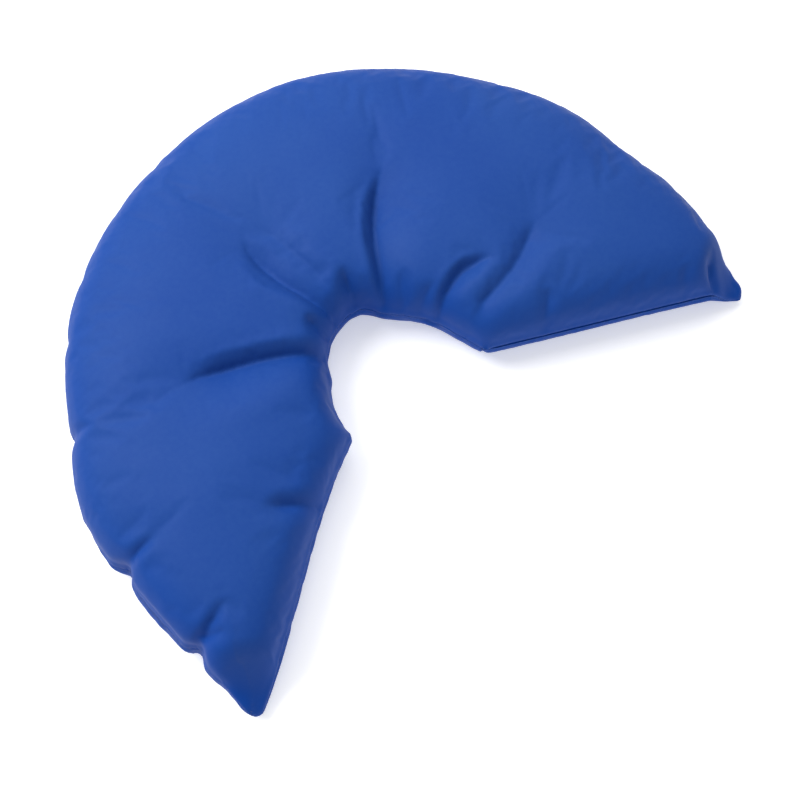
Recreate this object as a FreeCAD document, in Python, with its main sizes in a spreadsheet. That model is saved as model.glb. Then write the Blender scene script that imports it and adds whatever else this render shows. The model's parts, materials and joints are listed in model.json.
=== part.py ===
# Crescent lumbar support cushion, in millimetres, +Z up, lying flat with its notch towards -Y.
#
# Two cloth panels meet at one seam all round the crescent, a zip closes the seam along the right
# horn's inner edge, and a sewn liner inside holds the bead filling. The model is drawn about the
# centre of its round back edge, and every piece is then moved so that the origin is the middle of
# the cushion's footprint, on the surface it lies on.

import FreeCAD, Part
import math
import os

import Sketcher

doc = FreeCAD.newDocument("lumbar_cushion")

# ---------------------------------------------------------------- driving sizes

SIZES = [
    ("outer_radius", 402.0, "radius of the round back edge"),
    ("overall_depth", 598.0, "back edge to horn tips"),
    ("overall_height", 118.0, "floor to the top of the crown"),
    ("seam_height", 40.0, "floor to the seam between the two panels"),
    ("top_crown_width", 148.0, "seam to where the top panel runs level"),
    ("base_crown_width", 90.0, "seam to where the bottom panel lies flat"),
    ("right_corner_x", 83.0, "right inner corner, where notch and horn meet"),
    ("right_corner_y", -48.0, "right inner corner"),
    ("left_corner_x", -105.0, "left inner corner"),
    ("left_corner_y", -26.0, "left inner corner"),
    ("notch_top_x", -13.0, "deepest point of the notch"),
    ("notch_top_y", 91.0, "deepest point of the notch"),
    ("tip_flare", 32.7, "how far each horn tip stands out past the round back edge's circle"),
    ("tip_width", 12.0, "blunt end of a horn tip"),
    ("cover_cloth", 1.0, "coated cover cloth, thickness"),
    ("seam_allowance", 9.0, "cloth turned in at the cover's seam"),
    ("thread_width", 0.5, "sewing thread as it lies in a seam"),
    ("stitch_setback", 3.0, "outline to the seam's stitches"),
    ("liner_clearance", 4.0, "zip to the liner's edge"),
    ("liner_gap", 0.6, "cover to liner at the crown and the base"),
    ("liner_cloth", 0.6, "liner cloth, thickness"),
    ("fill_gap", 0.5, "liner to filling"),
    ("zip_start", 16.0, "right inner corner to the zip's opening"),
    ("zip_tip_margin", 50.0, "zip's opening to the horn tip"),
    ("lip_gap", 4.6, "opening between the two lips over the zip"),
    ("coil_width", 2.6, "diameter of each coil"),
    ("coil_gap", 0.2, "clearance between the two closed coils"),
    ("tape_cloth", 0.6, "zip tape, thickness"),
    ("tape_gap", 0.1, "coil to tape"),
    ("tape_hem", 4.4, "width of the tape's bent edge, sewn to the panel"),
    ("hem_gap", 0.8, "tape's edge to the panel's inner face"),
    ("slider_length", 12.0, "slider along the zip"),
    ("slider_width", 9.5, "slider across the two coils"),
    ("slider_plate", 1.1, "front and back plates of the slider"),
    ("slider_wall", 1.0, "side walls of the slider"),
    ("slider_clearance", 0.3, "slider to coils, tape and panels"),
    ("post_width", 1.8, "wedge that parts the coils"),
    ("post_length", 2.4, "wedge along the zip"),
    ("bridge_width", 2.4, "bridge that the pull hangs on"),
    ("bridge_length", 3.4, "bridge along the zip"),
    ("bridge_rise", 2.2, "bridge in front of the slider"),
    ("pin_radius", 0.45, "the pull's cross pin"),
    ("pin_clearance", 0.08, "pin to the bridge's bore, radial"),
    ("pull_length", 22.0, "pull from its pin to its free end"),
    ("pull_thickness", 1.4, "pull tab"),
    ("pull_arm", 0.6, "each arm of the pull beside the bridge"),
    ("pull_clearance", 0.15, "arm to bridge"),
    ("fork_depth", 2.6, "pin to the bottom of the pull's fork"),
    ("stop_length", 2.5, "each zip stop along the zip"),
    ("stop_gap", 0.5, "slider to a stop at either end of its travel"),
    ("tape_lead", 18.0, "start of the opening to the bottom stop"),
]

sheet = doc.addObject("Spreadsheet::Sheet", "Sizes")
for row, (alias, value, meaning) in enumerate(SIZES, start=1):
    sheet.set(f"A{row}", meaning)
    sheet.set(f"B{row}", str(value))
    sheet.setAlias(f"B{row}", alias)
doc.recompute()


class Dim:
    """A size: its present number, and the sheet expression that keeps it bound."""

    def __init__(self, number, text=None):
        self.number = float(number)
        self.text = text if text is not None else f"({float(number)!r})"

    @staticmethod
    def of(value):
        return value if isinstance(value, Dim) else Dim(value)

    def combine(self, other, sign, number):
        return Dim(number, f"({self.text} {sign} {other.text})")

    def __add__(self, other):
        other = Dim.of(other)
        return self.combine(other, "+", self.number + other.number)

    def __sub__(self, other):
        other = Dim.of(other)
        return self.combine(other, "-", self.number - other.number)

    def __mul__(self, other):
        other = Dim.of(other)
        return self.combine(other, "*", self.number * other.number)

    def __truediv__(self, other):
        other = Dim.of(other)
        return self.combine(other, "/", self.number / other.number)

    def __radd__(self, other):
        return Dim.of(other) + self

    def __rsub__(self, other):
        return Dim.of(other) - self

    def __rmul__(self, other):
        return Dim.of(other) * self

    def __neg__(self):
        return 0 - self


def root(value):
    return Dim(math.sqrt(value.number), f"sqrt({value.text})")


def larger(a, b):
    return Dim(max(a.number, b.number), f"max({a.text}; {b.text})")


def direction_degrees(x, y):
    angle = math.degrees(math.atan2(y.number, x.number))
    return Dim(angle, f"(atan2({y.text}; {x.text}) / 1deg)")


def size(alias):
    return Dim(sheet.get(alias), f"{sheet.Name}.{alias}")


# ---------------------------------------------------------------- places worked out from the sizes

outer_radius = size("outer_radius")
overall_height = size("overall_height")
seam_height = size("seam_height")
top_crown = size("top_crown_width")
base_crown = size("base_crown_width")
cover_cloth = size("cover_cloth")
tip_y = outer_radius - size("overall_depth")
tip_reach = outer_radius + size("tip_flare")
tip_outer_x = root(tip_reach * tip_reach - tip_y * tip_y)
tip_inner_x = tip_outer_x - size("tip_width")

right_corner = (size("right_corner_x"), size("right_corner_y"))
left_corner = (size("left_corner_x"), size("left_corner_y"))
notch_top = (size("notch_top_x"), size("notch_top_y"))

# The model is moved back by half the difference between its back edge and its tips.
footprint_shift = (outer_radius + tip_y) / 2

# From where it leaves the circle, each horn's outer edge runs straight to the tip.
flare_length = root(tip_reach * tip_reach - outer_radius * outer_radius)
flare_angle = direction_degrees(tip_outer_x, tip_y) + direction_degrees(outer_radius, flare_length)


def rise_radius(run, rise):
    """Radius of an arc that climbs `rise` over `run` and ends level."""
    return (run * run + rise * rise) / (2 * rise)


def circle_through(a, b, c):
    """Centre and radius of the circle through three points."""
    ax, ay = a[0] - c[0], a[1] - c[1]
    bx, by = b[0] - c[0], b[1] - c[1]
    twice_area = 2 * (ax * by - ay * bx)
    a_square = ax * ax + ay * ay
    b_square = bx * bx + by * by
    x = (by * a_square - ay * b_square) / twice_area
    y = (ax * b_square - bx * a_square) / twice_area
    return (x + c[0], y + c[1]), root(x * x + y * y)


notch_centre, notch_radius = circle_through(right_corner, left_corner, notch_top)


class HornEdge:
    """The straight inner edge of a horn: its direction, its inward normal and its length."""

    def __init__(self, name, corner, side):
        run_x = side * tip_inner_x - corner[0]
        run_y = tip_y - corner[1]
        self.name = name
        self.side = side
        self.corner = corner
        self.length = root(run_x * run_x + run_y * run_y)
        self.along = (run_x / self.length, run_y / self.length)
        self.inward = (-side * self.along[1], side * self.along[0])


horn_edges = [HornEdge("right", right_corner, 1), HornEdge("left", left_corner, -1)]


# ---------------------------------------------------------------- drawing helpers

THROUGH = 20.0  # how far a cutting shape runs past what it cuts
LIFT = 0.25  # how far a cutting crown ends past the level face that it leaves
CORE_SHARE = 0.1  # the horns are padded from this share of the outer radius, inside the notch
ORIGIN = -1  # the sketcher's number for the sketch's own axes


def origin_plane(body, role):
    """One of the body's own three planes."""
    return next(plane for plane in body.Origin.OriginFeatures if plane.Role == role)


def new_body(name):
    return doc.addObject("PartDesign::Body", name)


def new_sketch(body, name, role="XZ_Plane", base=(0, 0), turn=0):
    """A sketch on one of the body's planes.

    An XZ sketch may stand at a plan point, turned about Z, and a YZ sketch may be moved along X.
    """
    sketch = body.newObject("Sketcher::SketchObject", name)
    sketch.AttachmentSupport = [(origin_plane(body, role), "")]
    sketch.MapMode = "FlatFace"
    upright = FreeCAD.Vector(0, 1, 0)
    sketch.AttachmentOffset = FreeCAD.Placement(FreeCAD.Vector(), FreeCAD.Rotation(upright, 1))
    normal_shift = Dim.of(base[0]) if role == "YZ_Plane" else -Dim.of(base[1])
    side_shift = Dim(0) if role == "YZ_Plane" else Dim.of(base[0])
    sketch.setExpression("AttachmentOffset.Base.x", side_shift.text)
    sketch.setExpression("AttachmentOffset.Base.z", normal_shift.text)
    sketch.setExpression("AttachmentOffset.Rotation.Angle", Dim.of(turn).text)
    return sketch


def pin_point(sketch, geometry, end, point):
    """Bind one end of a sketch element to a place."""
    for kind, value in (("DistanceX", point[0]), ("DistanceY", point[1])):
        value = Dim.of(value)
        constraint = Sketcher.Constraint(kind, ORIGIN, 1, geometry, end, value.number)
        number = sketch.addConstraint(constraint)
        sketch.setExpression(f"Constraints[{number}]", value.text)


def numbers(point):
    return FreeCAD.Vector(Dim.of(point[0]).number, Dim.of(point[1]).number, 0)


def add_line(sketch, start, end):
    line = sketch.addGeometry(Part.LineSegment(numbers(start), numbers(end)))
    pin_point(sketch, line, 1, start)
    pin_point(sketch, line, 2, end)
    return line


def add_arc(sketch, centre, start, end, pin=None):
    """An arc run anticlockwise. `pin` names the centre's coordinate that is bound."""
    middle, first, last = numbers(centre), numbers(start), numbers(end)
    circle = Part.Circle(middle, FreeCAD.Vector(0, 0, 1), (first - middle).Length)
    angles = [math.atan2(p.y - middle.y, p.x - middle.x) for p in (first, last)]
    arc = sketch.addGeometry(Part.ArcOfCircle(circle, *angles))
    pin_point(sketch, arc, 1, start)
    pin_point(sketch, arc, 2, end)
    value = Dim.of(centre[0] if pin == "DistanceX" else centre[1])
    constraint = Sketcher.Constraint(pin, ORIGIN, 1, arc, 3, value.number)
    number = sketch.addConstraint(constraint)
    sketch.setExpression(f"Constraints[{number}]", value.text)
    return arc


def add_polygon(sketch, points):
    for start, end in zip(points, points[1:] + points[:1]):
        add_line(sketch, start, end)


def feature(body, kind, name, sketch, **settings):
    """A sketch-based PartDesign feature; a Dim among its settings is bound to the sheet."""
    made = body.newObject(f"PartDesign::{kind}", name)
    made.Profile = sketch
    for setting, value in settings.items():
        setattr(made, setting, value.number if isinstance(value, Dim) else value)
        if isinstance(value, Dim):
            made.setExpression(setting, value.text)
    sketch.Visibility = False
    return made


def check_cuts(body, name):
    """Stop if a cutting feature took nothing away."""
    doc.recompute()
    cut = doc.getObject(name)
    before = cut.BaseFeature.Shape.Volume
    if not cut.Shape.Volume < before - 1:
        raise RuntimeError(f"{name} in {body.Label} cuts nothing")


# ---------------------------------------------------------------- the crowned crescent

def draw_crown(sketch, inner_x, edge_x, level, setback, top, base):
    """Half of a level-topped lens: from inner_x out to its sharp edge at edge_x - setback."""
    top_x = edge_x - top_crown
    base_x = edge_x - base_crown
    edge = (edge_x - setback, level)
    top_radius = rise_radius(top_crown - setback, top - level)
    base_radius = rise_radius(base_crown - setback, level - base)
    add_line(sketch, (inner_x, base), (base_x, base))
    add_arc(sketch, (base_x, base + base_radius), (base_x, base), edge, "DistanceX")
    add_arc(sketch, (top_x, top - top_radius), edge, (top_x, top), "DistanceX")
    add_line(sketch, (top_x, top), (inner_x, top))
    add_line(sketch, (inner_x, top), (inner_x, base))


def draw_hollow(sketch, outer_x, edge_x, level, setback, top, base):
    """What lies outside a crown that starts at edge_x + setback and rises away from outer_x.

    It ends LIFT beyond the level faces, so that it crosses them instead of only touching them.
    """
    top = top + LIFT
    base = base - LIFT
    top_x = edge_x + top_crown
    base_x = edge_x + base_crown
    edge = (edge_x + setback, level)
    top_radius = rise_radius(top_crown - setback, top - level)
    base_radius = rise_radius(base_crown - setback, level - base)
    above = top + THROUGH
    below = base - THROUGH
    add_line(sketch, (outer_x, below), (base_x, below))
    add_line(sketch, (base_x, below), (base_x, base))
    add_arc(sketch, (base_x, base + base_radius), edge, (base_x, base), "DistanceX")
    add_arc(sketch, (top_x, top - top_radius), (top_x, top), edge, "DistanceX")
    add_line(sketch, (top_x, top), (top_x, above))
    add_line(sketch, (top_x, above), (outer_x, above))
    add_line(sketch, (outer_x, above), (outer_x, below))


def crescent(name, setback, inset):
    """The crowned crescent, its edge set back by `setback` and its faces in by `inset`."""
    body = new_body(name)
    setback, inset = Dim.of(setback), Dim.of(inset)
    top = overall_height - inset
    base = inset
    shape = (setback, top, base)

    disc = new_sketch(body, f"{name}_disc_section", turn=flare_angle)
    draw_crown(disc, 0, outer_radius, seam_height, *shape)
    feature(body, "Revolution", f"{name}_disc", disc,
            ReferenceAxis=(disc, ["V_Axis"]), Angle=180 - 2 * flare_angle)

    horn = new_sketch(body, f"{name}_horn_section", turn=flare_angle)
    draw_crown(horn, outer_radius * CORE_SHARE, outer_radius, seam_height, *shape)
    pad = feature(body, "Pad", f"{name}_horn", horn, Length=flare_length + THROUGH)
    pair = body.newObject("PartDesign::Mirrored", f"{name}_horns")
    pair.Originals = [pad]
    pair.MirrorPlane = (origin_plane(body, "YZ_Plane"), [""])
    body.Tip = pair

    gap = new_sketch(body, f"{name}_gap_plan", role="XY_Plane")
    add_polygon(gap, [left_corner, (-tip_inner_x, tip_y), (tip_inner_x, tip_y), right_corner])
    feature(body, "Pocket", f"{name}_gap", gap, Type="ThroughAll", Midplane=True)
    check_cuts(body, f"{name}_gap")

    trim = new_sketch(body, f"{name}_tip_plan", role="XY_Plane")
    wide = outer_radius * 2
    end = tip_y + setback
    far = tip_y - outer_radius
    add_polygon(trim, [(-wide, far), (wide, far), (wide, end), (-wide, end)])
    feature(body, "Pocket", f"{name}_tips", trim, Type="ThroughAll", Midplane=True)
    check_cuts(body, f"{name}_tips")

    notch = new_sketch(body, f"{name}_notch_section", base=notch_centre)
    draw_hollow(notch, 0, notch_radius, seam_height, *shape)
    feature(body, "Groove", f"{name}_notch", notch, ReferenceAxis=(notch, ["V_Axis"]), Angle=360.0)
    check_cuts(body, f"{name}_notch")

    for edge in horn_edges:
        facing = direction_degrees(*edge.inward)
        section = new_sketch(body, f"{name}_{edge.name}_section", base=edge.corner, turn=facing)
        draw_hollow(section, -THROUGH, Dim(0), seam_height, *shape)
        cut_name = f"{name}_{edge.name}_edge"
        feature(body, "Pocket", cut_name, section, Type="Length",
                Length=edge.length + THROUGH, Reversed=edge.side > 0)
        check_cuts(body, cut_name)
    return body


# ---------------------------------------------------------------- what the zip has to fit between

inner_face = cover_cloth  # how far the panels' inner faces lie inside their outer ones
inner_edge = cover_cloth * 1.3  # the same along the level of the seam, where the faces slope


def depth_for(height, crown, rise):
    """How far in from the outline a panel's inner face is `height` away from the seam."""
    run = crown - inner_edge
    inner_rise = rise - inner_face
    radius = rise_radius(run, inner_rise)
    down = radius - inner_rise + height
    return crown - root(radius * radius - down * down)


def height_at(depth, crown, rise):
    """How far a panel's inner face is from the seam, `depth` in from the outline."""
    run = crown - inner_edge
    inner_rise = rise - inner_face
    radius = rise_radius(run, inner_rise)
    across = crown - depth
    return root(radius * radius - across * across) - (radius - inner_rise)


class Panel:
    """The side of the seam that a zip half belongs to."""

    def __init__(self, name, sign, crown, rise):
        self.name = name
        self.sign = sign
        self.crown = crown
        self.rise = rise


panels = [
    Panel("upper", 1, top_crown, overall_height - seam_height),
    Panel("lower", -1, base_crown, seam_height),
]

slider_clearance = size("slider_clearance")
slider_half = size("slider_width") / 2
slider_plate = size("slider_plate")
coil_width = size("coil_width")
tape_cloth = size("tape_cloth")

zip_edge = horn_edges[0]
zip_angle = direction_degrees(*zip_edge.along)
zip_length = zip_edge.length - size("zip_start") - size("zip_tip_margin")

slider_room = slider_half + slider_clearance
slider_front = larger(*(depth_for(slider_room, side.crown, side.rise) for side in panels))
coil_front = slider_front + slider_plate + slider_clearance
coil_middle = coil_front + coil_width / 2
coil_back = coil_front + coil_width
tape_front = coil_back + size("tape_gap")
tape_back = tape_front + tape_cloth
plate_front = tape_back + slider_clearance
slider_back = plate_front + slider_plate
hem_end = tape_front + size("tape_hem")
liner_setback = larger(slider_back, hem_end) + size("liner_clearance")

stop_length = size("stop_length")
bottom_stop_x = size("tape_lead")
top_stop_x = zip_length - stop_length
slider_lead = top_stop_x - size("stop_gap")
slider_tail = slider_lead - size("slider_length")
post_start = slider_lead - size("post_length")
coil_start = bottom_stop_x + stop_length
coil_end = post_start - slider_clearance
pin_x = (slider_lead + slider_tail) / 2
slider_travel = slider_tail - coil_start - size("stop_gap")

zip_corner = [zip_edge.corner[i] + zip_edge.along[i] * size("zip_start") for i in (0, 1)]


# ---------------------------------------------------------------- building helpers

def place(piece, x=0, y=0, z=0, turn=0):
    """Bind a piece's Placement; `turn` is about the vertical."""
    upright = FreeCAD.Vector(0, 0, 1)
    piece.Placement = FreeCAD.Placement(FreeCAD.Vector(), FreeCAD.Rotation(upright, 1))
    for path, value in (("Base.x", x), ("Base.y", y), ("Base.z", z), ("Rotation.Angle", turn)):
        piece.setExpression(f"Placement.{path}", Dim.of(value).text)


def block(name, lengths, corner, **placing):
    """A box between `corner` and `corner` plus its lengths, before it is placed."""
    box = doc.addObject("Part::Box", name)
    for side, length in zip(("Length", "Width", "Height"), lengths):
        box.setExpression(side, Dim.of(length).text)
    place(box, *corner, **placing)
    return box


def boolean(kind, name, base, tool):
    made = doc.addObject(f"Part::{kind}", name)
    made.Base = base
    made.Tool = tool
    return made


def common(name, base, tool):
    return boolean("Common", name, base, tool)


def cut(name, base, tool):
    return boolean("Cut", name, base, tool)


nodes = []


def finish_node(piece, label):
    """Name a finished piece, whose shape becomes the node of that name."""
    piece.Label = label
    nodes.append(piece)
    return piece


def still_node(piece, label):
    """A finished piece drawn about the back edge's centre, moved to the cushion's own origin."""
    place(piece, y=-footprint_shift)
    return finish_node(piece, label)


def zip_node(piece, label):
    """A finished piece drawn along the zip, moved to its edge and its height."""
    place(piece, zip_corner[0], zip_corner[1] - footprint_shift, seam_height, turn=zip_angle)
    return finish_node(piece, label)


# ---------------------------------------------------------------- outline of the seam

def draw_outline():
    """The closed plan outline that both panels are sewn along."""
    sketch = doc.addObject("Sketcher::SketchObject", "seam_outline")
    per_square = outer_radius / (tip_reach * tip_reach)
    tangent_x = per_square * (outer_radius * tip_outer_x - flare_length * tip_y)
    tangent_y = per_square * (outer_radius * tip_y + flare_length * tip_outer_x)
    right = [right_corner, (tip_inner_x, tip_y), (tip_outer_x, tip_y), (tangent_x, tangent_y)]
    left = [(-tangent_x, tangent_y), (-tip_outer_x, tip_y), (-tip_inner_x, tip_y), left_corner]
    for points in (right, left):
        for start, end in zip(points, points[1:]):
            add_line(sketch, start, end)
    add_arc(sketch, (Dim(0), Dim(0)), right[-1], left[0], "DistanceY")
    add_arc(sketch, notch_centre, right_corner, left_corner, "DistanceY")
    return sketch


outline = draw_outline()


def inset_plate(name, setback, base, height):
    """A plate inside the outline, `setback` in from it."""
    line = doc.addObject("Part::Offset2D", f"{name}_line")
    line.Source = outline
    line.Join = "Intersection"
    line.Value = -setback.number
    line.setExpression("Value", (-setback).text)
    plate = doc.addObject("Part::Extrusion", name)
    plate.Base = line
    plate.DirMode = "Custom"
    plate.Dir = FreeCAD.Vector(0, 0, 1)
    plate.Solid = True
    plate.setExpression("LengthFwd", Dim.of(height).text)
    place(plate, z=base)
    return plate


def seam_ring(name, setback, width, base, height):
    """A flat ring that follows the seam, from `setback` to `setback` plus `width`."""
    outer = inset_plate(f"{name}_outer", setback, base, height)
    inner = inset_plate(f"{name}_inner", setback + width, base, height)
    return cut(name, outer, inner)


# ---------------------------------------------------------------- cover

def half_space(name, base, height):
    """A block over the whole footprint, for parting a hollow shell at the seam."""
    wide = outer_radius * 2 + THROUGH
    return block(name, (wide, wide, height), (-wide / 2, -wide / 2, base))


above_seam = half_space("above_seam", seam_height, overall_height)
below_seam = half_space("below_seam", seam_height - overall_height, overall_height)

# The opening between the two lips, as deep as the turned-in cloth.
lip_gap = size("lip_gap")
opening_depth = inner_edge + size("seam_allowance") + THROUGH
zip_opening = block(
    "zip_opening",
    (zip_length, opening_depth + THROUGH, lip_gap),
    (
        zip_corner[0] - zip_edge.inward[0] * THROUGH,
        zip_corner[1] - zip_edge.inward[1] * THROUGH,
        seam_height - lip_gap / 2,
    ),
    turn=zip_angle,
)


def make_cover():
    """Two panels, each with its turned-in allowance, and the two threads that join them."""
    outside = crescent("cover_outside", 0, 0)
    inside = crescent("cover_inside", inner_edge, inner_face)
    shell = cut("cover_shell", outside, inside)
    allowance = seam_ring("cover_allowance", inner_edge, size("seam_allowance"),
                          seam_height - cover_cloth, cover_cloth * 2)
    sewn = boolean("Fuse", "cover_sewn", shell, allowance)
    opened = cut("cover_opened", sewn, zip_opening)
    still_node(common("top_panel", opened, above_seam), "cover_top_panel")
    still_node(common("bottom_panel", opened, below_seam), "cover_bottom_panel")

    thread = size("thread_width")
    setback = size("stitch_setback")
    levels = {
        "cover_needle_thread": seam_height + cover_cloth,
        "cover_bobbin_thread": seam_height - cover_cloth - thread,
    }
    for label, level in levels.items():
        ring = seam_ring(f"{label}_ring", setback, thread, level, thread)
        still_node(cut(f"{label}_open", ring, zip_opening), label)


def make_liner():
    """A loose bag of thin cloth in two panels, overlocked at its edge, and its filling."""
    cloth = size("liner_cloth")
    outer_inset = cover_cloth + size("liner_gap")
    inner_inset = outer_inset + cloth
    inner_setback = liner_setback + cloth * 1.5
    outside = crescent("liner_outside", liner_setback, outer_inset)
    inside = crescent("liner_inside", inner_setback, inner_inset)
    shell = cut("liner_shell", outside, inside)
    still_node(common("liner_top", shell, above_seam), "liner_top_panel")
    still_node(common("liner_bottom", shell, below_seam), "liner_bottom_panel")

    thread = size("thread_width")
    edge = seam_ring("liner_edge", liner_setback - thread, thread, seam_height - thread, thread * 2)
    still_node(edge, "liner_overlock_thread")

    gap = size("fill_gap")
    fill = crescent("fill", inner_setback + gap * 1.5, inner_inset + gap)
    still_node(fill, "bead_filling")


# ---------------------------------------------------------------- zip
#
# Zip pieces are drawn with X along the edge towards the horn's tip, Y inwards from the outline
# and Z upwards from the seam. A section is drawn in Y and Z and runs along X.

def section_pad(body, name, start, length, points):
    """A polygon section padded from `start` along the zip."""
    sketch = new_sketch(body, f"{name}_section", role="YZ_Plane", base=(start, 0))
    add_polygon(sketch, points)
    return feature(body, "Pad", name, sketch, Length=Dim.of(length))


def rectangle(low_y, high_y, low_z, high_z):
    return [(low_y, low_z), (high_y, low_z), (high_y, high_z), (low_y, high_z)]


def make_tape(panel):
    """A woven tape: upright beside its coil, then bent in along the panel it is sewn to."""
    sign, gap = panel.sign, size("hem_gap")
    bend = height_at(tape_front, panel.crown, panel.rise) - gap
    tip = height_at(hem_end, panel.crown, panel.rise) - gap
    slope = (tip - bend) / (hem_end - tape_front)
    thick = tape_cloth * root(1 + slope * slope)
    near_edge = size("post_width") / 2 + slider_clearance
    inner_bend = bend + slope * tape_cloth - thick
    body = new_body(f"tape_{panel.name}")
    section_pad(body, f"tape_{panel.name}_cloth", 0, zip_length, [
        (tape_front, sign * near_edge),
        (tape_back, sign * near_edge),
        (tape_back, sign * inner_bend),
        (hem_end, sign * (tip - thick)),
        (hem_end, sign * tip),
        (tape_front, sign * bend),
    ])
    zip_node(body, f"zip_tape_{panel.name}")

    thread = size("thread_width")
    middle = (tape_back + hem_end) / 2
    face = tip - thick - slope * (hem_end - middle)
    seam = new_body(f"stitching_{panel.name}")
    section_pad(seam, f"stitching_{panel.name}_thread", 0, zip_length, [
        (middle, sign * face),
        (middle, sign * (face - thread)),
        (middle + thread, sign * (face - thread + slope * thread)),
        (middle + thread, sign * (face + slope * thread)),
    ])
    zip_node(seam, f"zip_stitching_{panel.name}")


def make_coil(panel):
    """One of the two closed coils, as the rod that its turns fill."""
    body = new_body(f"coil_{panel.name}")
    sketch = new_sketch(body, f"coil_{panel.name}_section", role="YZ_Plane", base=(coil_start, 0))
    level = panel.sign * (size("coil_gap") + coil_width) / 2
    circle = Part.Circle(numbers((coil_middle, level)), FreeCAD.Vector(0, 0, 1),
                         coil_width.number / 2)
    ring = sketch.addGeometry(circle)
    pin_point(sketch, ring, 3, (coil_middle, level))
    number = sketch.addConstraint(Sketcher.Constraint("Radius", ring, coil_width.number / 2))
    sketch.setExpression(f"Constraints[{number}]", (coil_width / 2).text)
    feature(body, "Pad", f"coil_{panel.name}_rod", sketch, Length=coil_end - coil_start)
    zip_node(body, f"zip_coil_{panel.name}")


def make_stops():
    """A bottom stop that clamps both coils, and a pair of top stops, one on each tape."""
    bottom = new_body("bottom_stop")
    reach = coil_width + size("coil_gap") / 2
    section_pad(bottom, "bottom_stop_clamp", bottom_stop_x, stop_length,
                rectangle(coil_front, coil_back, -reach, reach))
    zip_node(bottom, "zip_bottom_stop")

    near = size("post_width") / 2 + slider_clearance
    for panel in panels:
        body = new_body(f"top_stop_{panel.name}")
        section_pad(body, f"top_stop_{panel.name}_clamp", top_stop_x, stop_length,
                    rectangle(coil_front, coil_back, panel.sign * near, panel.sign * (near + coil_width)))
        zip_node(body, f"zip_top_stop_{panel.name}")


def plan_pad(body, kind, name, height, draw):
    """A plan shape padded or pocketed evenly above and below the seam's level."""
    sketch = new_sketch(body, f"{name}_plan", role="XY_Plane")
    draw(sketch)
    return feature(body, kind, name, sketch, Length=height, Midplane=True)


def draw_pin_circle(sketch, radius):
    """A circle about the pull's pin."""
    centre = (pin_x, pin_y)
    ring = sketch.addGeometry(Part.Circle(numbers(centre), FreeCAD.Vector(0, 0, 1), radius.number))
    pin_point(sketch, ring, 3, centre)
    number = sketch.addConstraint(Sketcher.Constraint("Radius", ring, radius.number))
    sketch.setExpression(f"Constraints[{number}]", radius.text)


pin_y = slider_front - size("bridge_rise") / 2
fork_gap = size("bridge_width") + 2 * size("pull_clearance")
pull_width = fork_gap + 2 * size("pull_arm")


def make_slider():
    """Front plate with side walls round the coils, back plate, wedge between, and bridge."""
    body = new_body("slider")
    length = size("slider_length")
    wall_in = slider_half - size("slider_wall")
    wall_end = tape_front - slider_clearance
    plate_end = slider_front + slider_plate
    post = size("post_width") / 2
    section_pad(body, "slider_wedge", post_start, size("post_length"),
                rectangle(slider_front, slider_back, -post, post))
    section_pad(body, "slider_front_plate", slider_tail, length, [
        (slider_front, -slider_half), (wall_end, -slider_half), (wall_end, -wall_in),
        (plate_end, -wall_in), (plate_end, wall_in), (wall_end, wall_in),
        (wall_end, slider_half), (slider_front, slider_half),
    ])
    section_pad(body, "slider_back_plate", slider_tail, length,
                rectangle(plate_front, slider_back, -slider_half, slider_half))

    bridge_half = size("bridge_length") / 2
    low = slider_front - size("bridge_rise")
    plan_pad(body, "Pad", "slider_bridge", size("bridge_width"), lambda sketch: add_polygon(sketch, [
        (pin_x - bridge_half, low), (pin_x + bridge_half, low),
        (pin_x + bridge_half, plate_end), (pin_x - bridge_half, plate_end),
    ]))
    bore = size("pin_radius") + size("pin_clearance")
    plan_pad(body, "Pocket", "slider_bore", size("bridge_width") + THROUGH / 10,
             lambda sketch: draw_pin_circle(sketch, bore))
    check_cuts(body, "slider_bore")
    zip_node(body, "zip_slider")


def draw_pull_plan(sketch):
    """A flat tab with a round end about the pin, reaching back along the zip."""
    half = size("pull_thickness") / 2
    free_end = pin_x - size("pull_length")
    low, high = (pin_x, pin_y - half), (pin_x, pin_y + half)
    add_line(sketch, (free_end, pin_y - half), low)
    add_arc(sketch, (pin_x, pin_y), low, high, "DistanceX")
    add_line(sketch, high, (free_end, pin_y + half))
    add_line(sketch, (free_end, pin_y + half), (free_end, pin_y - half))


def make_pull():
    """A tab that forks round the bridge, with the cross pin it swings on."""
    body = new_body("pull")
    plan_pad(body, "Pad", "pull_tab", pull_width, draw_pull_plan)
    half = size("pull_thickness") / 2 + THROUGH / 10
    fork_end = pin_x + half
    fork_floor = pin_x - size("fork_depth")
    plan_pad(body, "Pocket", "pull_fork", fork_gap, lambda sketch: add_polygon(sketch, [
        (fork_floor, pin_y - half), (fork_end, pin_y - half),
        (fork_end, pin_y + half), (fork_floor, pin_y + half),
    ]))
    check_cuts(body, "pull_fork")
    plan_pad(body, "Pad", "pull_pin", pull_width,
             lambda sketch: draw_pin_circle(sketch, size("pin_radius")))
    zip_node(body, "zip_pull")


# ---------------------------------------------------------------- build, check and write

make_cover()
make_liner()
for half in panels:
    make_tape(half)
    make_coil(half)
make_stops()
make_slider()
make_pull()
doc.recompute()

for item in doc.Objects:
    if {"Invalid", "Error"} & set(item.State):
        raise RuntimeError(f"{item.Label} did not build: {item.State}")
for node in nodes:
    if node.Shape.isNull() or not node.Shape.isValid():
        raise RuntimeError(f"{node.Label} has no valid shape")

os.makedirs("parts", exist_ok=True)
for node in nodes:
    node.Shape.exportStep(os.path.join("parts", f"{node.Label}.step"))
    solids = len(node.Shape.Solids)
    print(f"{node.Label}: {solids} solid(s), {node.Shape.Volume / 1000:.3f} cm3")

print(f"zip slider travel {slider_travel.number:.2f} mm along the zip")
print(f"pull pin at {pin_x.number:.2f}, {pin_y.number:.2f} mm in the zip's own frame")
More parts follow.
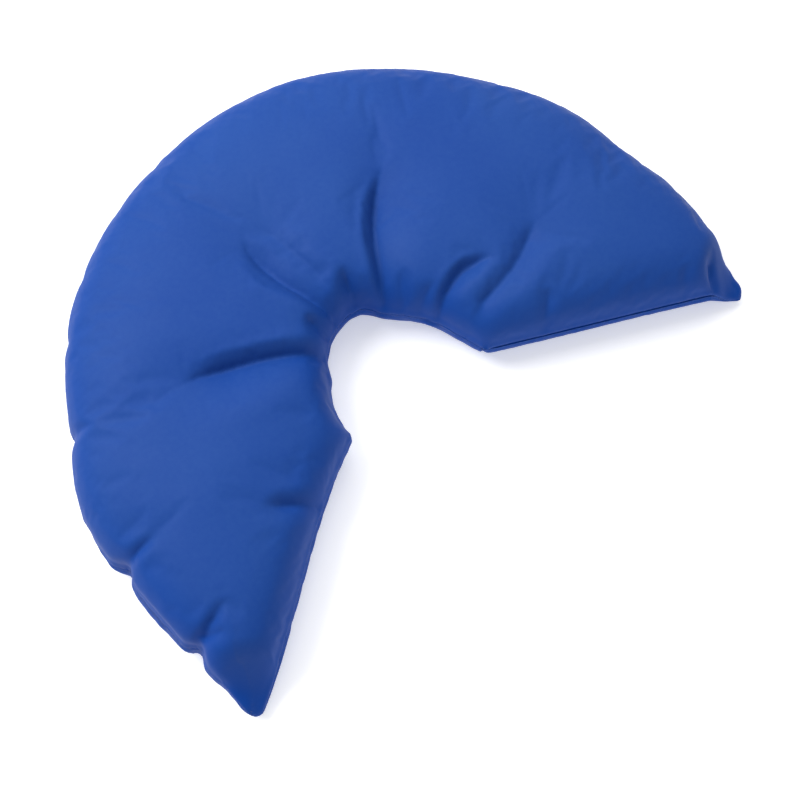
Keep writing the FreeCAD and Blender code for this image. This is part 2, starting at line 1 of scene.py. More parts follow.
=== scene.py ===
"""Crescent lumbar support cushion: coated cover, concealed zip, inner liner and bead filling."""
import json
import logging
import math
from dataclasses import dataclass
from enum import Enum

import bpy
import numpy as np
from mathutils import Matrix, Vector
from mathutils.bvhtree import BVHTree
from mathutils.geometry import delaunay_2d_cdt


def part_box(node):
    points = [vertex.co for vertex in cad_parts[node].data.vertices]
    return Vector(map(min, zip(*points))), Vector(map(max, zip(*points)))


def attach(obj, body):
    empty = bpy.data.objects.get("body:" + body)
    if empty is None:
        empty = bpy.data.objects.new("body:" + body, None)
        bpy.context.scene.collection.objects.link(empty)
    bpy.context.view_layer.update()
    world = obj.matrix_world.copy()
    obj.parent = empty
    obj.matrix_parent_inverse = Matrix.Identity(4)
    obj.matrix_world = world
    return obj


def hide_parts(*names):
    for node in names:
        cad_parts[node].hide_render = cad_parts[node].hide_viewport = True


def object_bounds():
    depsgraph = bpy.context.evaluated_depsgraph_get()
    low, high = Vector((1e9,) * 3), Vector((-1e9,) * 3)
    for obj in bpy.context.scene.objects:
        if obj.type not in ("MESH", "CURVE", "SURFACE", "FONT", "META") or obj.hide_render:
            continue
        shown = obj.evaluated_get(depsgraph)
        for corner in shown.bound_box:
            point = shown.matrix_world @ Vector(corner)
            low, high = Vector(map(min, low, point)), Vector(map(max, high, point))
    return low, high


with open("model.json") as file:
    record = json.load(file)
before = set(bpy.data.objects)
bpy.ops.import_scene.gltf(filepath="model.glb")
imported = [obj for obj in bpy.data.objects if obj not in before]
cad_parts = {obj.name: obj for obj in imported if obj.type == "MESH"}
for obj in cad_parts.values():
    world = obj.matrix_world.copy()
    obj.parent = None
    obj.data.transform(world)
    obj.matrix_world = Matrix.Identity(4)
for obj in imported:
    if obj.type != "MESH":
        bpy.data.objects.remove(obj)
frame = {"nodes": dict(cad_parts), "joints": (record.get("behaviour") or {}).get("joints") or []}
CAD_BOX = [list(corner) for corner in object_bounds()]
LOG = logging.getLogger("cushion")
MM = 0.001
COVER_BODY = "cover"
BACK_RADIUS = 0.5 * (CAD_BOX[1][0] - CAD_BOX[0][0])
BACK_CENTRE = np.array([0.5 * (CAD_BOX[1][0] + CAD_BOX[0][0]), CAD_BOX[1][1] - BACK_RADIUS])
RIB_SCALE = 0.314  # a wave texture's scale times its pitch


class Side(Enum):
    """The two panels of the cover and of the liner."""

    TOP = 1
    BOTTOM = -1


# ---------------------------------------------------------------- numbers on curves and meshes


def smoothstep(low: float, high: float, value: np.ndarray) -> np.ndarray:
    """Rises smoothly from 0 at low to 1 at high."""
    t = np.clip((value - low) / (high - low), 0.0, 1.0)
    return t * t * (3.0 - 2.0 * t)


def rounded_path(points: np.ndarray, steps: int = 24) -> np.ndarray:
    """Passes a smooth open curve through points.

    Args:
        points: control points, one a row, two or more.
        steps: how many short runs each span is divided into.

    Returns:
        The curve's points, first and last included.
    """
    padded = np.vstack([2 * points[0] - points[1], points, 2 * points[-1] - points[-2]])
    t = np.linspace(0.0, 1.0, steps, endpoint=False)[:, None]
    spans = []
    for a, b, c, d in zip(padded, padded[1:], padded[2:], padded[3:]):
        spans.append(0.5 * (2 * b + (c - a) * t + (2 * a - 5 * b + 4 * c - d) * t**2
                            + (3 * b - a - 3 * c + d) * t**3))
    return np.vstack(spans + [points[-1:]])


def evenly_spaced(path: np.ndarray, spacing: float) -> np.ndarray:
    """Divides a path into equal steps of about spacing, both ends kept."""
    runs = np.concatenate([[0.0], np.cumsum(np.linalg.norm(np.diff(path, axis=0), axis=1))])
    count = max(2, int(round(runs[-1] / spacing)) + 1)
    places = np.linspace(0.0, runs[-1], count)
    return np.stack([np.interp(places, runs, column) for column in path.T], axis=1)


def nearest_on_path(points: np.ndarray, path: np.ndarray) -> tuple[np.ndarray, np.ndarray, np.ndarray]:
    """Finds the nearest place on a path for many points in plan.

    Args:
        points: the points, one a row.
        path: the path's corners, one a row.

    Returns:
        The distance, the run along the path, and which side (left is positive), one for each point.
    """
    runs = np.concatenate([[0.0], np.cumsum(np.linalg.norm(np.diff(path, axis=0), axis=1))])
    best = np.full(len(points), np.inf)
    run = np.zeros(len(points))
    side = np.zeros(len(points))
    for k in range(len(path) - 1):
        leg = path[k + 1] - path[k]
        length = np.linalg.norm(leg)
        along = leg / length
        off = points - path[k]
        t = np.clip(off @ along, 0.0, length)
        away = off - t[:, None] * along
        distance = np.linalg.norm(away, axis=1)
        closer = distance < best
        best[closer] = distance[closer]
        run[closer] = runs[k] + t[closer]
        side[closer] = np.sign(along[0] * off[closer, 1] - along[1] * off[closer, 0])
    return best, run, side


def ripple(run: np.ndarray, waves: tuple[tuple[float, float, float], ...]) -> np.ndarray:
    """Adds up sine waves of (length, height, phase) along a run."""
    return sum(height * np.sin(2 * math.pi * run / length + phase) for length, height, phase in waves)


@dataclass
class Net:
    """A triangle net over the crescent in plan, with smooth fields worked out on it."""

    plan: np.ndarray
    triangles: np.ndarray
    rim: int

    def __post_init__(self) -> None:
        """Weighs each edge by the angles that face it."""
        rows, columns, weights = [], [], []
        for k in range(3):
            corner, i, j = (self.triangles[:, (k + s) % 3] for s in range(3))
            a = self.plan[i] - self.plan[corner]
            b = self.plan[j] - self.plan[corner]
            area = np.abs(a[:, 0] * b[:, 1] - a[:, 1] * b[:, 0])
            rows.append(i)
            columns.append(j)
            weights.append(0.5 * np.sum(a * b, axis=1) / np.maximum(area, 1e-12))
        self.edge_i = np.concatenate(rows)
        self.edge_j = np.concatenate(columns)
        self.weight = np.clip(np.concatenate(weights), 1e-3, 50.0)
        mass = np.zeros(len(self.plan))
        a, b, c = (self.plan[self.triangles[:, k]] for k in range(3))
        area = 0.5 * np.abs((b - a)[:, 0] * (c - a)[:, 1] - (b - a)[:, 1] * (c - a)[:, 0])
        for k in range(3):
            mass += np.bincount(self.triangles[:, k], area / 3, len(self.plan))
        self.mass = mass

    def _spread(self, values: np.ndarray) -> np.ndarray:
        """Each point's balance of flow along its edges."""
        flow = self.weight * (values[self.edge_i] - values[self.edge_j])
        count = len(values)
        return np.bincount(self.edge_i, flow, count) - np.bincount(self.edge_j, flow, count)

    def relaxed(self, rim_values: np.ndarray, reach: float, target: float) -> np.ndarray:
        """Solves for a field that starts at the rim's values and settles to a target inside.

        Args:
            rim_values: the field on the rim's points.
            reach: how far in from the rim the field settles, in metres.
            target: the value far from the rim.

        Returns:
            The field on every point.
        """
        pull = self.mass / reach**2
        field_now = np.full(len(self.plan), target)
        field_now[:self.rim] = rim_values
        diagonal = (np.bincount(self.edge_i, self.weight, len(self.plan))
                    + np.bincount(self.edge_j, self.weight, len(self.plan)) + pull)

        def left(values: np.ndarray) -> np.ndarray:
            """The left side of the balance, with the rim held."""
            result = self._spread(values) + pull * values
            result[:self.rim] = 0.0
            return result

        residual = pull * target - self._spread(field_now) - pull * field_now
        residual[:self.rim] = 0.0
        ready = residual / diagonal
        step = ready.copy()
        energy = residual @ ready
        for _ in range(400):
            change = left(step)
            length = energy / max(step @ change, 1e-30)
            field_now = field_now + length * step
            residual = residual - length * change
            ready = residual / diagonal
            fresh = residual @ ready
            if fresh < 1e-18:
                break
            step = ready + step * (fresh / energy)
            step[:self.rim] = 0.0
            energy = fresh
        return field_now


@dataclass
class Shell:
    """A triangle mesh with its rim's points first, in order, and two numbers for each point."""

    points: np.ndarray
    triangles: np.ndarray
    rim: int
    marks: np.ndarray

    def normals(self) -> np.ndarray:
        """The outward direction at every point."""
        a, b, c = (self.points[self.triangles[:, k]] for k in range(3))
        faces = np.cross(b - a, c - a)
        total = np.zeros_like(self.points)
        for k in range(3):
            for axis in range(3):
                total[:, axis] += np.bincount(self.triangles[:, k], faces[:, axis], len(total))
        return total / np.maximum(np.linalg.norm(total, axis=1, keepdims=True), 1e-12)

    def finer(self) -> "Shell":
        """Divides every triangle in four and smooths the result, rim included."""
        count = len(self.points)
        sides = np.sort(np.concatenate([self.triangles[:, [0, 1]], self.triangles[:, [1, 2]],
                                        self.triangles[:, [2, 0]]]), axis=1)
        edges, back = np.unique(sides, axis=0, return_inverse=True)
        back = back.reshape(3, -1)
        opposite = np.concatenate([self.triangles[:, 2], self.triangles[:, 0], self.triangles[:, 1]])
        both = np.column_stack([self.points, self.marks])
        wings = np.zeros((len(edges), both.shape[1]))
        uses = np.bincount(back.ravel(), minlength=len(edges))
        for column in range(both.shape[1]):
            wings[:, column] = np.bincount(back.ravel(), both[opposite, column], len(edges))
        ends = both[edges[:, 0]] + both[edges[:, 1]]
        middles = np.where((uses == 2)[:, None], 0.375 * ends + 0.125 * wings, 0.5 * ends)
        middles[:, 3:] = 0.5 * ends[:, 3:]
        neighbours = np.zeros_like(both)
        valence = np.bincount(edges.ravel(), minlength=count)
        for column in range(both.shape[1]):
            neighbours[:, column] = (np.bincount(edges[:, 0], both[edges[:, 1], column], count)
                                     + np.bincount(edges[:, 1], both[edges[:, 0], column], count))
        share = 0.625 - (0.375 + 0.25 * np.cos(2 * math.pi / valence)) ** 2
        kept = both * (1 - share)[:, None] + neighbours * (share / valence)[:, None]
        kept[:, 3:] = both[:, 3:]
        rim_now = both[:self.rim, :3]
        kept[:self.rim, :3] = (0.75 * rim_now + 0.125 * np.roll(rim_now, 1, axis=0)
                               + 0.125 * np.roll(rim_now, -1, axis=0))
        ab, bc, ca = (back[k] + count for k in range(3))
        a, b, c = self.triangles.T
        triangles = np.concatenate([np.stack(t, axis=1) for t in
                                    ((a, ab, ca), (b, bc, ab), (c, ca, bc), (ab, bc, ca))])
        on_rim = np.flatnonzero((edges[:, 0] < self.rim) & (edges[:, 1] < self.rim) & (uses == 1))
        first = np.where((edges[on_rim, 1] - edges[on_rim, 0]) == 1, edges[on_rim, 0], self.rim - 1)
        middle_after = np.empty(self.rim, dtype=int)
        middle_after[first] = on_rim
        order = np.empty(2 * self.rim, dtype=int)
        order[0::2] = np.arange(self.rim)
        order[1::2] = middle_after + count
        values = np.vstack([kept, middles])
        rest = np.setdiff1d(np.arange(len(values)), order)
        sequence = np.concatenate([order, rest])
        place = np.empty(len(values), dtype=int)
        place[sequence] = np.arange(len(values))
        values = values[sequence]
        return Shell(values[:, :3], place[triangles], 2 * self.rim, values[:, 3:])


def new_piece(name: str, points: np.ndarray, faces: list | np.ndarray,
              marks: np.ndarray | None = None, smooth: bool = True) -> bpy.types.Object:
    """Makes a mesh object at the origin, with an optional Seam UV map.

    Args:
        name: the piece's name.
        points: its points in metres.
        faces: its faces.
        marks: two numbers a point, kept as the UV map Seam.
        smooth: whether it is shaded smooth.

    Returns:
        The new object.
    """
    mesh = bpy.data.meshes.new(name)
    mesh.from_pydata(points.tolist(), [], np.asarray(faces).tolist())
    mesh.update()
    if marks is not None:
        corners = np.empty(len(mesh.loops), dtype=np.int32)
        mesh.loops.foreach_get("vertex_index", corners)
        layer = mesh.uv_layers.new(name="Seam")
        layer.data.foreach_set("uv", marks[corners].astype(np.float32).ravel())
    if smooth:
        mesh.shade_smooth()
    piece = bpy.data.objects.new(name, mesh)
    bpy.context.scene.collection.objects.link(piece)
    return piece


# ---------------------------------------------------------------- the cushion's outline


@dataclass
class ZipLine:
    """The straight seam over the zip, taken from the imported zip."""

    tape_setback: float = 10.31 * MM
    half_gap: float = 2.3 * MM
    hem: float = 5.0 * MM

    def __post_init__(self) -> None:
        """Reads the zip's direction, start and length from the slide joint and the tape."""
        slide = next(j for j in frame["joints"] if j["name"] == "zip_slide")
        self.along = -np.array(slide["axis"], dtype=float)
        self.along /= np.linalg.norm(self.along)
        self.inward = np.array([-self.along[1], self.along[0], 0.0])
        tape = points_of("zip_tape_upper")
        runs = tape @ self.along
        self.length = float(runs.max() - runs.min())
        height = 0.5 * (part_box("zip_slider")[0][2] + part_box("zip_slider")[1][2])
        self.start = (self.along * runs.min()
                      + self.inward * ((tape @ self.inward).min() - self.tape_setback)
                      + np.array([0.0, 0.0, height]))
        self.height = float(height)

    def at(self, run: float, inward: float = 0.0, up: float = 0.0) -> np.ndarray:
        """A place in the cushion's frame from one along, into and above the zip."""
        return self.start + self.along * run + self.inward * inward + np.array([0.0, 0.0, up])

    def span(self, plan: np.ndarray, fade: float) -> np.ndarray:
        """1 on the zip's opening and 0 off it, fading over a length outside its ends."""
        off = plan - self.start[:2]
        run = off @ self.along[:2]
        away = np.abs(off @ self.inward[:2])
        ends = smoothstep(-fade, 0.0, run) * (1 - smoothstep(self.length, self.length + fade, run))
        return ends * (1 - smoothstep(0.004, 0.02, away))


def points_of(node: str) -> np.ndarray:
    """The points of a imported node's mesh."""
    mesh = frame["nodes"][node].data
    flat = np.empty(len(mesh.vertices) * 3)
    mesh.vertices.foreach_get("co", flat)
    return flat.reshape(-1, 3)


@dataclass(frozen=True)
class EdgeSwell:
    """A place where the back edge stands out (or, with a negative offset, pulls in)."""

    degrees: float
    width: float
    offset: float


@dataclass
class Outline:
    """The seam's line in plan, anticlockwise from the right inner corner."""

    zip_line: ZipLine
    spacing: float = 5.5 * MM
    right_corner: tuple[float, float] = (0.083, -0.151)
    left_corner: tuple[float, float] = (-0.104, -0.129)
    right_tip: tuple[float, float] = (0.371, -0.303)
    left_tip: tuple[float, float] = (-0.376, -0.297)
    tip_width: float = 9 * MM
    notch_turns: tuple[tuple[float, float], ...] = (
        (-0.104, -0.108), (-0.093, -0.080), (-0.078, -0.058), (-0.064, -0.036), (-0.042, -0.020),
        (-0.012, -0.012), (0.008, -0.016), (0.024, -0.038), (0.042, -0.058), (0.060, -0.082),
        (0.072, -0.116))
    swells: tuple[EdgeSwell, ...] = (
        EdgeSwell(-27, 11, 0.012), EdgeSwell(-12, 16, -0.003), EdgeSwell(4, 9, -0.012),
        EdgeSwell(35, 32, -0.019), EdgeSwell(72, 16, 0.002), EdgeSwell(102, 34, -0.008),
        EdgeSwell(150, 14, -0.009), EdgeSwell(165, 8, 0.004), EdgeSwell(183, 8, -0.005),
        EdgeSwell(210, 12, 0.023))
    nicks: tuple[EdgeSwell, ...] = (
        EdgeSwell(-15.7, 1.0, -0.002), EdgeSwell(5.2, 1.2, -0.003), EdgeSwell(48.6, 1.3, -0.002),
        EdgeSwell(67, 1.2, -0.002), EdgeSwell(79.7, 1.0, -0.002), EdgeSwell(100.6, 1.3, -0.003),
        EdgeSwell(124.7, 1.3, -0.003), EdgeSwell(136.6, 1.2, -0.003), EdgeSwell(153.6, 1.4, -0.007),
        EdgeSwell(177.8, 1.6, -0.011), EdgeSwell(195.2, 1.5, -0.011))
    raises: tuple[EdgeSwell, ...] = (EdgeSwell(203, 9, 0.014), EdgeSwell(186, 6, 0.008))
    tip_seam_height: float = 12 * MM
    droop_length: float = 90 * MM

    def back_edge(self, start: np.ndarray, end: np.ndarray) -> np.ndarray:
        """The round back edge, from one horn tip to the other."""
        centre = BACK_CENTRE
        first, last = (math.atan2(*(p - centre)[::-1]) for p in (start, end))
        angles = np.linspace(first, last + 2 * math.pi, 1500)
        reach = np.full(len(angles), BACK_RADIUS)
        for swell in self.swells + self.nicks:
            reach += swell.offset * np.exp(-((np.degrees(angles) - swell.degrees) / swell.width) ** 2)
        ends = [np.linalg.norm(p - centre) for p in (start, end)]
        for end_reach, end_angle in zip(ends, (angles[0], angles[-1])):
            near = np.exp(-(np.degrees(angles - end_angle) / 3.0) ** 2)
            reach += (end_reach - np.interp(end_angle, angles, reach)) * near
        return centre + reach[:, None] * np.stack([np.cos(angles), np.sin(angles)], axis=1)

    def trace(self) -> None:
        """Works out the seam's points, their height, and each one's inward direction."""
        right, left = np.array(self.right_corner), np.array(self.left_corner)
        zip_end = self.zip_line.at(self.zip_line.length)[:2]
        tip_r, tip_l = np.array(self.right_tip), np.array(self.left_tip)
        blunt = self.tip_width
        straight = np.stack([right, self.zip_line.start[:2], zip_end])
        to_tip = rounded_path(np.stack([zip_end, zip_end + [0.014, -0.0085], tip_r + [-0.012, 0.009], tip_r]))
        back = self.back_edge(tip_r + [blunt * 1.0, blunt * 0.9], tip_l + [-blunt * 0.95, blunt * 0.3])
        horn = rounded_path(np.stack([tip_l, [-0.295, -0.2475], [-0.19, -0.175], left]))
        notch = rounded_path(np.stack([left, *np.array(self.notch_turns), right]))
        runs = [straight, to_tip, np.stack([tip_r, back[0]]), back, np.stack([back[-1], tip_l]), horn, notch]
        spaced = [evenly_spaced(run, self.spacing)[:-1] for run in runs]
        self.plan = np.vstack(spaced)
        ahead = np.roll(self.plan, -1, axis=0) - np.roll(self.plan, 1, axis=0)
        for _ in range(2):
            ahead = 0.5 * ahead + 0.25 * (np.roll(ahead, 1, axis=0) + np.roll(ahead, -1, axis=0))
        ahead /= np.linalg.norm(ahead, axis=1, keepdims=True)
        self.inward = np.stack([-ahead[:, 1], ahead[:, 0]], axis=1)
        closed = np.vstack([self.plan, self.plan[:1]])
        steps = np.linalg.norm(np.diff(closed, axis=0), axis=1)
        self.run = np.concatenate([[0.0], np.cumsum(steps)[:-1]])
        self.closed = closed
        firmness = (0.0, 0.2, 0.2, 1.0, 0.3, 0.15, 0.9)
        self.gather = np.concatenate([np.full(len(run), share) for run, share in zip(spaced, firmness)])
        self.bearing = np.degrees(np.arctan2(*(self.plan - BACK_CENTRE).T[::-1])) % 360
        self.on_back = np.concatenate([np.full(len(run), float(k == 3)) for k, run in enumerate(spaced)])
        droop = np.zeros(len(self.plan))
        for tip in (tip_r, tip_l):
            away = np.linalg.norm(self.plan - tip, axis=1)
            droop = np.maximum(droop, 1 - smoothstep(0.0, self.droop_length, away))
        off_zip = 1 - self.zip_line.span(self.plan, 0.03)
        full = self.zip_line.height
        self.height = full - (full - self.tip_seam_height) * droop * off_zip
        for swell in self.raises:
            near = np.exp(-((self.bearing - swell.degrees) / swell.width) ** 2)
            self.height += swell.offset * near * self.on_back
        self.tips = (tip_r, tip_l)

    def depth(self, plan: np.ndarray) -> tuple[np.ndarray, np.ndarray]:
        """How far each point in plan lies from the seam, and the run of the seam nearest it."""
        distance, run, _ = nearest_on_path(plan, self.closed)
        return distance, run

    def inside(self, plan: np.ndarray) -> np.ndarray:
        """Whether each point in plan lies inside the seam."""
        crossings = np.zeros(len(plan), dtype=int)
        for a, b in zip(self.closed, self.closed[1:]):
            between = (a[1] > plan[:, 1]) != (b[1] > plan[:, 1])
            with np.errstate(divide="ignore", invalid="ignore"):
                reach = (b[0] - a[0]) * (plan[:, 1] - a[1]) / (b[1] - a[1]) + a[0]
            crossings += between & (plan[:, 0] < reach)
        return crossings % 2 == 1

    def net(self) -> Net:
        """Fills the outline with points: close rows along the seam, then an even field."""
        rows = [self.plan]
        for setback in (0.5 * MM, 1.7 * MM, 3.6 * MM, 6.3 * MM, 9.8 * MM):
            row = self.plan + setback * self.inward
            rows.append(row[self.depth(row)[0] > 0.93 * setback])
        low, high = self.plan.min(axis=0), self.plan.max(axis=0)
        across, up = np.meshgrid(np.arange(low[0], high[0], self.spacing),
                                 np.arange(low[1], high[1], self.spacing * math.sqrt(3) / 2))
        across[1::2] += self.spacing / 2
        grid = np.stack([across.ravel(), up.ravel()], axis=1)
        grid = grid[self.inside(grid)]
        rows.append(grid[self.depth(grid)[0] > 9.8 * MM + 0.75 * self.spacing])
        plan = np.vstack(rows)
        rim = len(self.plan)
        ring = [(k, (k + 1) % rim) for k in range(rim)]
        _, _, faces, origin, _, _ = delaunay_2d_cdt([Vector(p) for p in plan], ring, [], 1, 1e-6)
        order = np.array([sources[0] for sources in origin])
        triangles = order[np.array(faces)]
        a, b, c = (plan[triangles[:, k]] for k in range(3))
        turned = (b - a)[:, 0] * (c - a)[:, 1] < (b - a)[:, 1] * (c - a)[:, 0]
        triangles[turned] = triangles[turned][:, ::-1]
        return Net(plan, triangles, rim)


# ---------------------------------------------------------------- the padded cover


@dataclass(frozen=True)
class Fold:
    """A valley that the cloth falls into, from the seam out to where it fades."""

    path: tuple[tuple[float, float], ...]
    depth: float
    width: float
    lean: float = 0.0
    fade: float = 0.6
    hold: float = 1.0
    press: float = 0.12
    crisp: float = 0.25

    def measure(self, plan: np.ndarray) -> tuple[np.ndarray, np.ndarray, np.ndarray]:
        """Each point's distance from the valley's line, its side, and what is left of the valley there."""
        curve = rounded_path(np.array(self.path), 10)
        away, run, side = nearest_on_path(plan, curve)
        length = np.linalg.norm(np.diff(curve, axis=0), axis=1).sum()
        return away, side, 1 - smoothstep(self.fade, 1.0, run / length)

    def drop(self, plan: np.ndarray) -> tuple[np.ndarray, np.ndarray]:
        """How deep the valley is at each point, and how firmly its bottom is held."""
        away, side, share = self.measure(plan)
        width = self.width * (1 + self.lean * side) * (0.6 + 0.4 * share)
        shape = np.exp(-np.abs(away / width) ** 1.3)
        lip = 0.15 * np.exp(-((away - 2.6 * width) / width) ** 2)
        held = np.exp(-((away / (0.35 * self.width)) ** 2)) * np.sqrt(share) * self.hold
        return self.depth * share * (shape - lip), held

    def crease(self, plan: np.ndarray) -> np.ndarray:
        """How much deeper the settled cloth is pressed along the valley's bottom."""
        away, side, share = self.measure(plan)
        width = self.crisp * self.width * (1 + self.lean * side)
        return self.press * self.depth * np.sqrt(share) * np.exp(-away / width)


@dataclass
class PaddedCrescent:
    """The stuffed shape that the cover, the liner and the filling share."""

    outline: Outline
    top_reach: float = 40 * MM
    base_reach: float = 24 * MM
    slack_height: float = 10 * MM
    frames: int = 22
    pressure: float = 4.0
    spare_cloth: float = 0.006
    most_movement: float = 16 * MM
    deep_nick: float = 0.005
    tip_reach: float = 75 * MM
    tip_fullness: float = 0.25
    folds: tuple[Fold, ...] = (
        Fold(((0.018, -0.045), (0.036, -0.018), (0.060, 0.021), (0.090, 0.056), (0.134, 0.090)),
             0.017, 0.013, -0.6),
        Fold(((-0.002, -0.02), (0.003, 0.0), (0.009, 0.018)), 0.015, 0.007),
        Fold(((-0.030, -0.022), (-0.043, 0.016), (-0.056, 0.055), (-0.060, 0.098), (-0.048, 0.130)),
             0.013, 0.012, -0.4),
        Fold(((-0.016, 0.03), (-0.024, 0.086), (-0.034, 0.120), (-0.046, 0.138)), 0.005, 0.012, 0.4),
        Fold(((-0.066, -0.042), (-0.112, -0.016), (-0.158, 0.006), (-0.196, 0.020), (-0.228, 0.026)),
             0.017, 0.013, 0.5),
        Fold(((-0.050, -0.026), (-0.056, -0.013), (-0.060, 0.001)), 0.014, 0.007),
        Fold(((0.058, -0.090), (0.080, -0.080), (0.109, -0.075), (0.132, -0.079), (0.154, -0.092)),
             0.013, 0.008, -0.5),
        Fold(((0.106, -0.118), (0.151, -0.113), (0.184, -0.102), (0.218, -0.084)), 0.009, 0.011, -0.2, 0.75),
        Fold(((0.046, -0.072), (0.062, -0.067), (0.082, -0.066)), 0.008, 0.005),
        Fold(((0.036, -0.055), (0.048, -0.045), (0.058, -0.026)), 0.006, 0.006),
        Fold(((0.149, -0.180), (0.160, -0.168), (0.174, -0.158)), 0.006, 0.008, 0.0, 0.7),
        Fold(((-0.178, -0.176), (-0.204, -0.160), (-0.238, -0.140)), 0.012, 0.009, 0.3),
        Fold(((-0.076, -0.062), (-0.098, -0.096), (-0.118, -0.122)), 0.009, 0.007, 0.3),
        Fold(((0.336, -0.274), (0.341, -0.258), (0.354, -0.250)), 0.012, 0.005, -0.3),
        Fold(((0.300, -0.262), (0.312, -0.238)), 0.003, 0.006),
        Fold(((-0.372, -0.205), (-0.345, -0.215)), 0.006, 0.007),
    )

    def build(self) -> None:
        """Shapes the stuffed crescent and settles its cloth."""
        self.outline.trace()
        self.net = self.outline.net()
        rim = self.net.rim
        depth_in, run = self.outline.depth(self.net.plan)
        self.marks = np.stack([run, depth_in], axis=1)
        full = CAD_BOX[1][2] - self.slack_height
        seam = self.net.relaxed(self.outline.height, 0.12, self.outline.zip_line.height)
        zero = np.zeros(rim)
        rise = self.net.relaxed(zero, self.top_reach, 1.0)
        sink = self.net.relaxed(zero, self.base_reach, 1.0)
        crown = np.sqrt(np.maximum(1 - (1 - rise) ** 2.0, 0.0))
        belly = np.sqrt(np.maximum(1 - (1 - sink) ** 2.0, 0.0))
        top = seam + (full - seam) * crown
        base = seam * (1 - belly)
        held = np.zeros(len(top))
        for tip in self.outline.tips:
            away = np.linalg.norm(self.net.plan - tip, axis=1) / self.tip_reach
            top -= (1 - self.tip_fullness) * (top - seam) * (1 - smoothstep(0.2, 1.0, away))
            held = np.maximum(held, 1 - smoothstep(0.3, 1.0, away))
        drop = np.zeros(len(top))
        self.folds = self.folds + self.nick_folds()
        for fold in self.folds:
            fold_drop, fold_held = fold.drop(self.net.plan)
            drop += fold_drop
            held = np.maximum(held, fold_held)
        room = np.maximum(top - seam, 0.0)
        drop = np.where(drop > 0, 0.8 * room * np.tanh(drop / np.maximum(0.8 * room, 1e-5)), drop * rise)
        top = top - drop
        top[:rim] = base[:rim] = self.outline.height
        upper = np.column_stack([self.net.plan, top])
        lower = np.column_stack([self.net.plan, base])
        upper, lower = self.settle(upper, lower, held)
        self.upper = Shell(upper, self.net.triangles, rim, self.marks)
        self.lower = Shell(lower, self.net.triangles[:, ::-1], rim, self.marks)

    def nick_folds(self) -> tuple[Fold, ...]:
        """A short valley running in from each deep nick of the back edge."""
        made = []
        for nick in (n for n in self.outline.nicks if n.offset < -self.deep_nick):
            turn = math.radians(nick.degrees)
            out = np.array([math.cos(turn), math.sin(turn)])
            reach = 0.022 + 4.0 * abs(nick.offset)
            path = tuple(tuple(BACK_CENTRE + out * r) for r in
                         (BACK_RADIUS + 0.004, BACK_RADIUS - 0.5 * reach, BACK_RADIUS - reach))
            made.append(Fold(path, 0.7 * abs(nick.offset), 0.005))
        return tuple(made)

    def settle(self, upper: np.ndarray, lower: np.ndarray, held: np.ndarray) -> tuple[np.ndarray, np.ndarray]:
        """Blows the closed cloth up a little so that it pulls tight between seam and folds.

        Args:
            upper: the top panel's points.
            lower: the bottom panel's points.
            held: how firmly each of the top panel's points is held, 0 to 1.

        Returns:
            The settled points of the two panels.
        """
        rim = self.net.rim
        count = len(upper)
        points = np.vstack([upper, lower[rim:]])
        below = self.net.triangles[:, ::-1].copy()
        below[below >= rim] += count - rim
        dummy = new_piece("cloth_trial", points, np.vstack([self.net.triangles, below]))
        weights = np.zeros(len(points))
        weights[:count] = np.clip(held, 0.0, 1.0)
        flat = np.clip(1 - lower[rim:, 2] / 0.004, 0.0, 1.0)
        weights[count:] = flat
        weights[:rim] = 1.0
        group = dummy.vertex_groups.new(name="held")
        for level in range(1, 11):
            chosen = np.flatnonzero(np.round(weights * 10) == level)
            if len(chosen):
                group.add(chosen.tolist(), level / 10, "REPLACE")
        cloth = dummy.modifiers.new("Cloth", "CLOTH")
        cloth.settings.quality = 5
        cloth.settings.mass = 0.25
        cloth.settings.tension_stiffness = 30.0
        cloth.settings.compression_stiffness = 20.0
        cloth.settings.shear_stiffness = 12.0
        cloth.settings.bending_stiffness = 0.6
        cloth.settings.vertex_group_mass = "held"
        cloth.settings.pin_stiffness = 1.0
        cloth.settings.use_pressure = True
        cloth.settings.uniform_pressure_force = self.pressure
        cloth.settings.shrink_min = -self.spare_cloth
        cloth.settings.effector_weights.gravity = 0.0
        cloth.collision_settings.use_collision = False
        cloth.point_cache.frame_start = 1
        cloth.point_cache.frame_end = self.frames
        scene = bpy.context.scene
        for step in range(1, self.frames + 1):
            scene.frame_set(step)
        evaluated = dummy.evaluated_get(bpy.context.evaluated_depsgraph_get())
        flat_points = np.empty(len(points) * 3)
        evaluated.data.vertices.foreach_get("co", flat_points)
        settled = flat_points.reshape(-1, 3)
        bpy.data.objects.remove(dummy)
        scene.frame_set(1)
        moved = settled - points
        length = np.linalg.norm(moved, axis=1, keepdims=True)
        LOG.info("cloth moved %.1f mm on average, %.1f mm at most", length.mean() / MM, length.max() / MM)
        settled = points + moved * np.minimum(1.0, self.most_movement / np.maximum(length, 1e-9))
        settled[:, 2] = np.maximum(settled[:, 2], 0.0)
        return settled[:count], np.vstack([settled[:rim], settled[count:]])


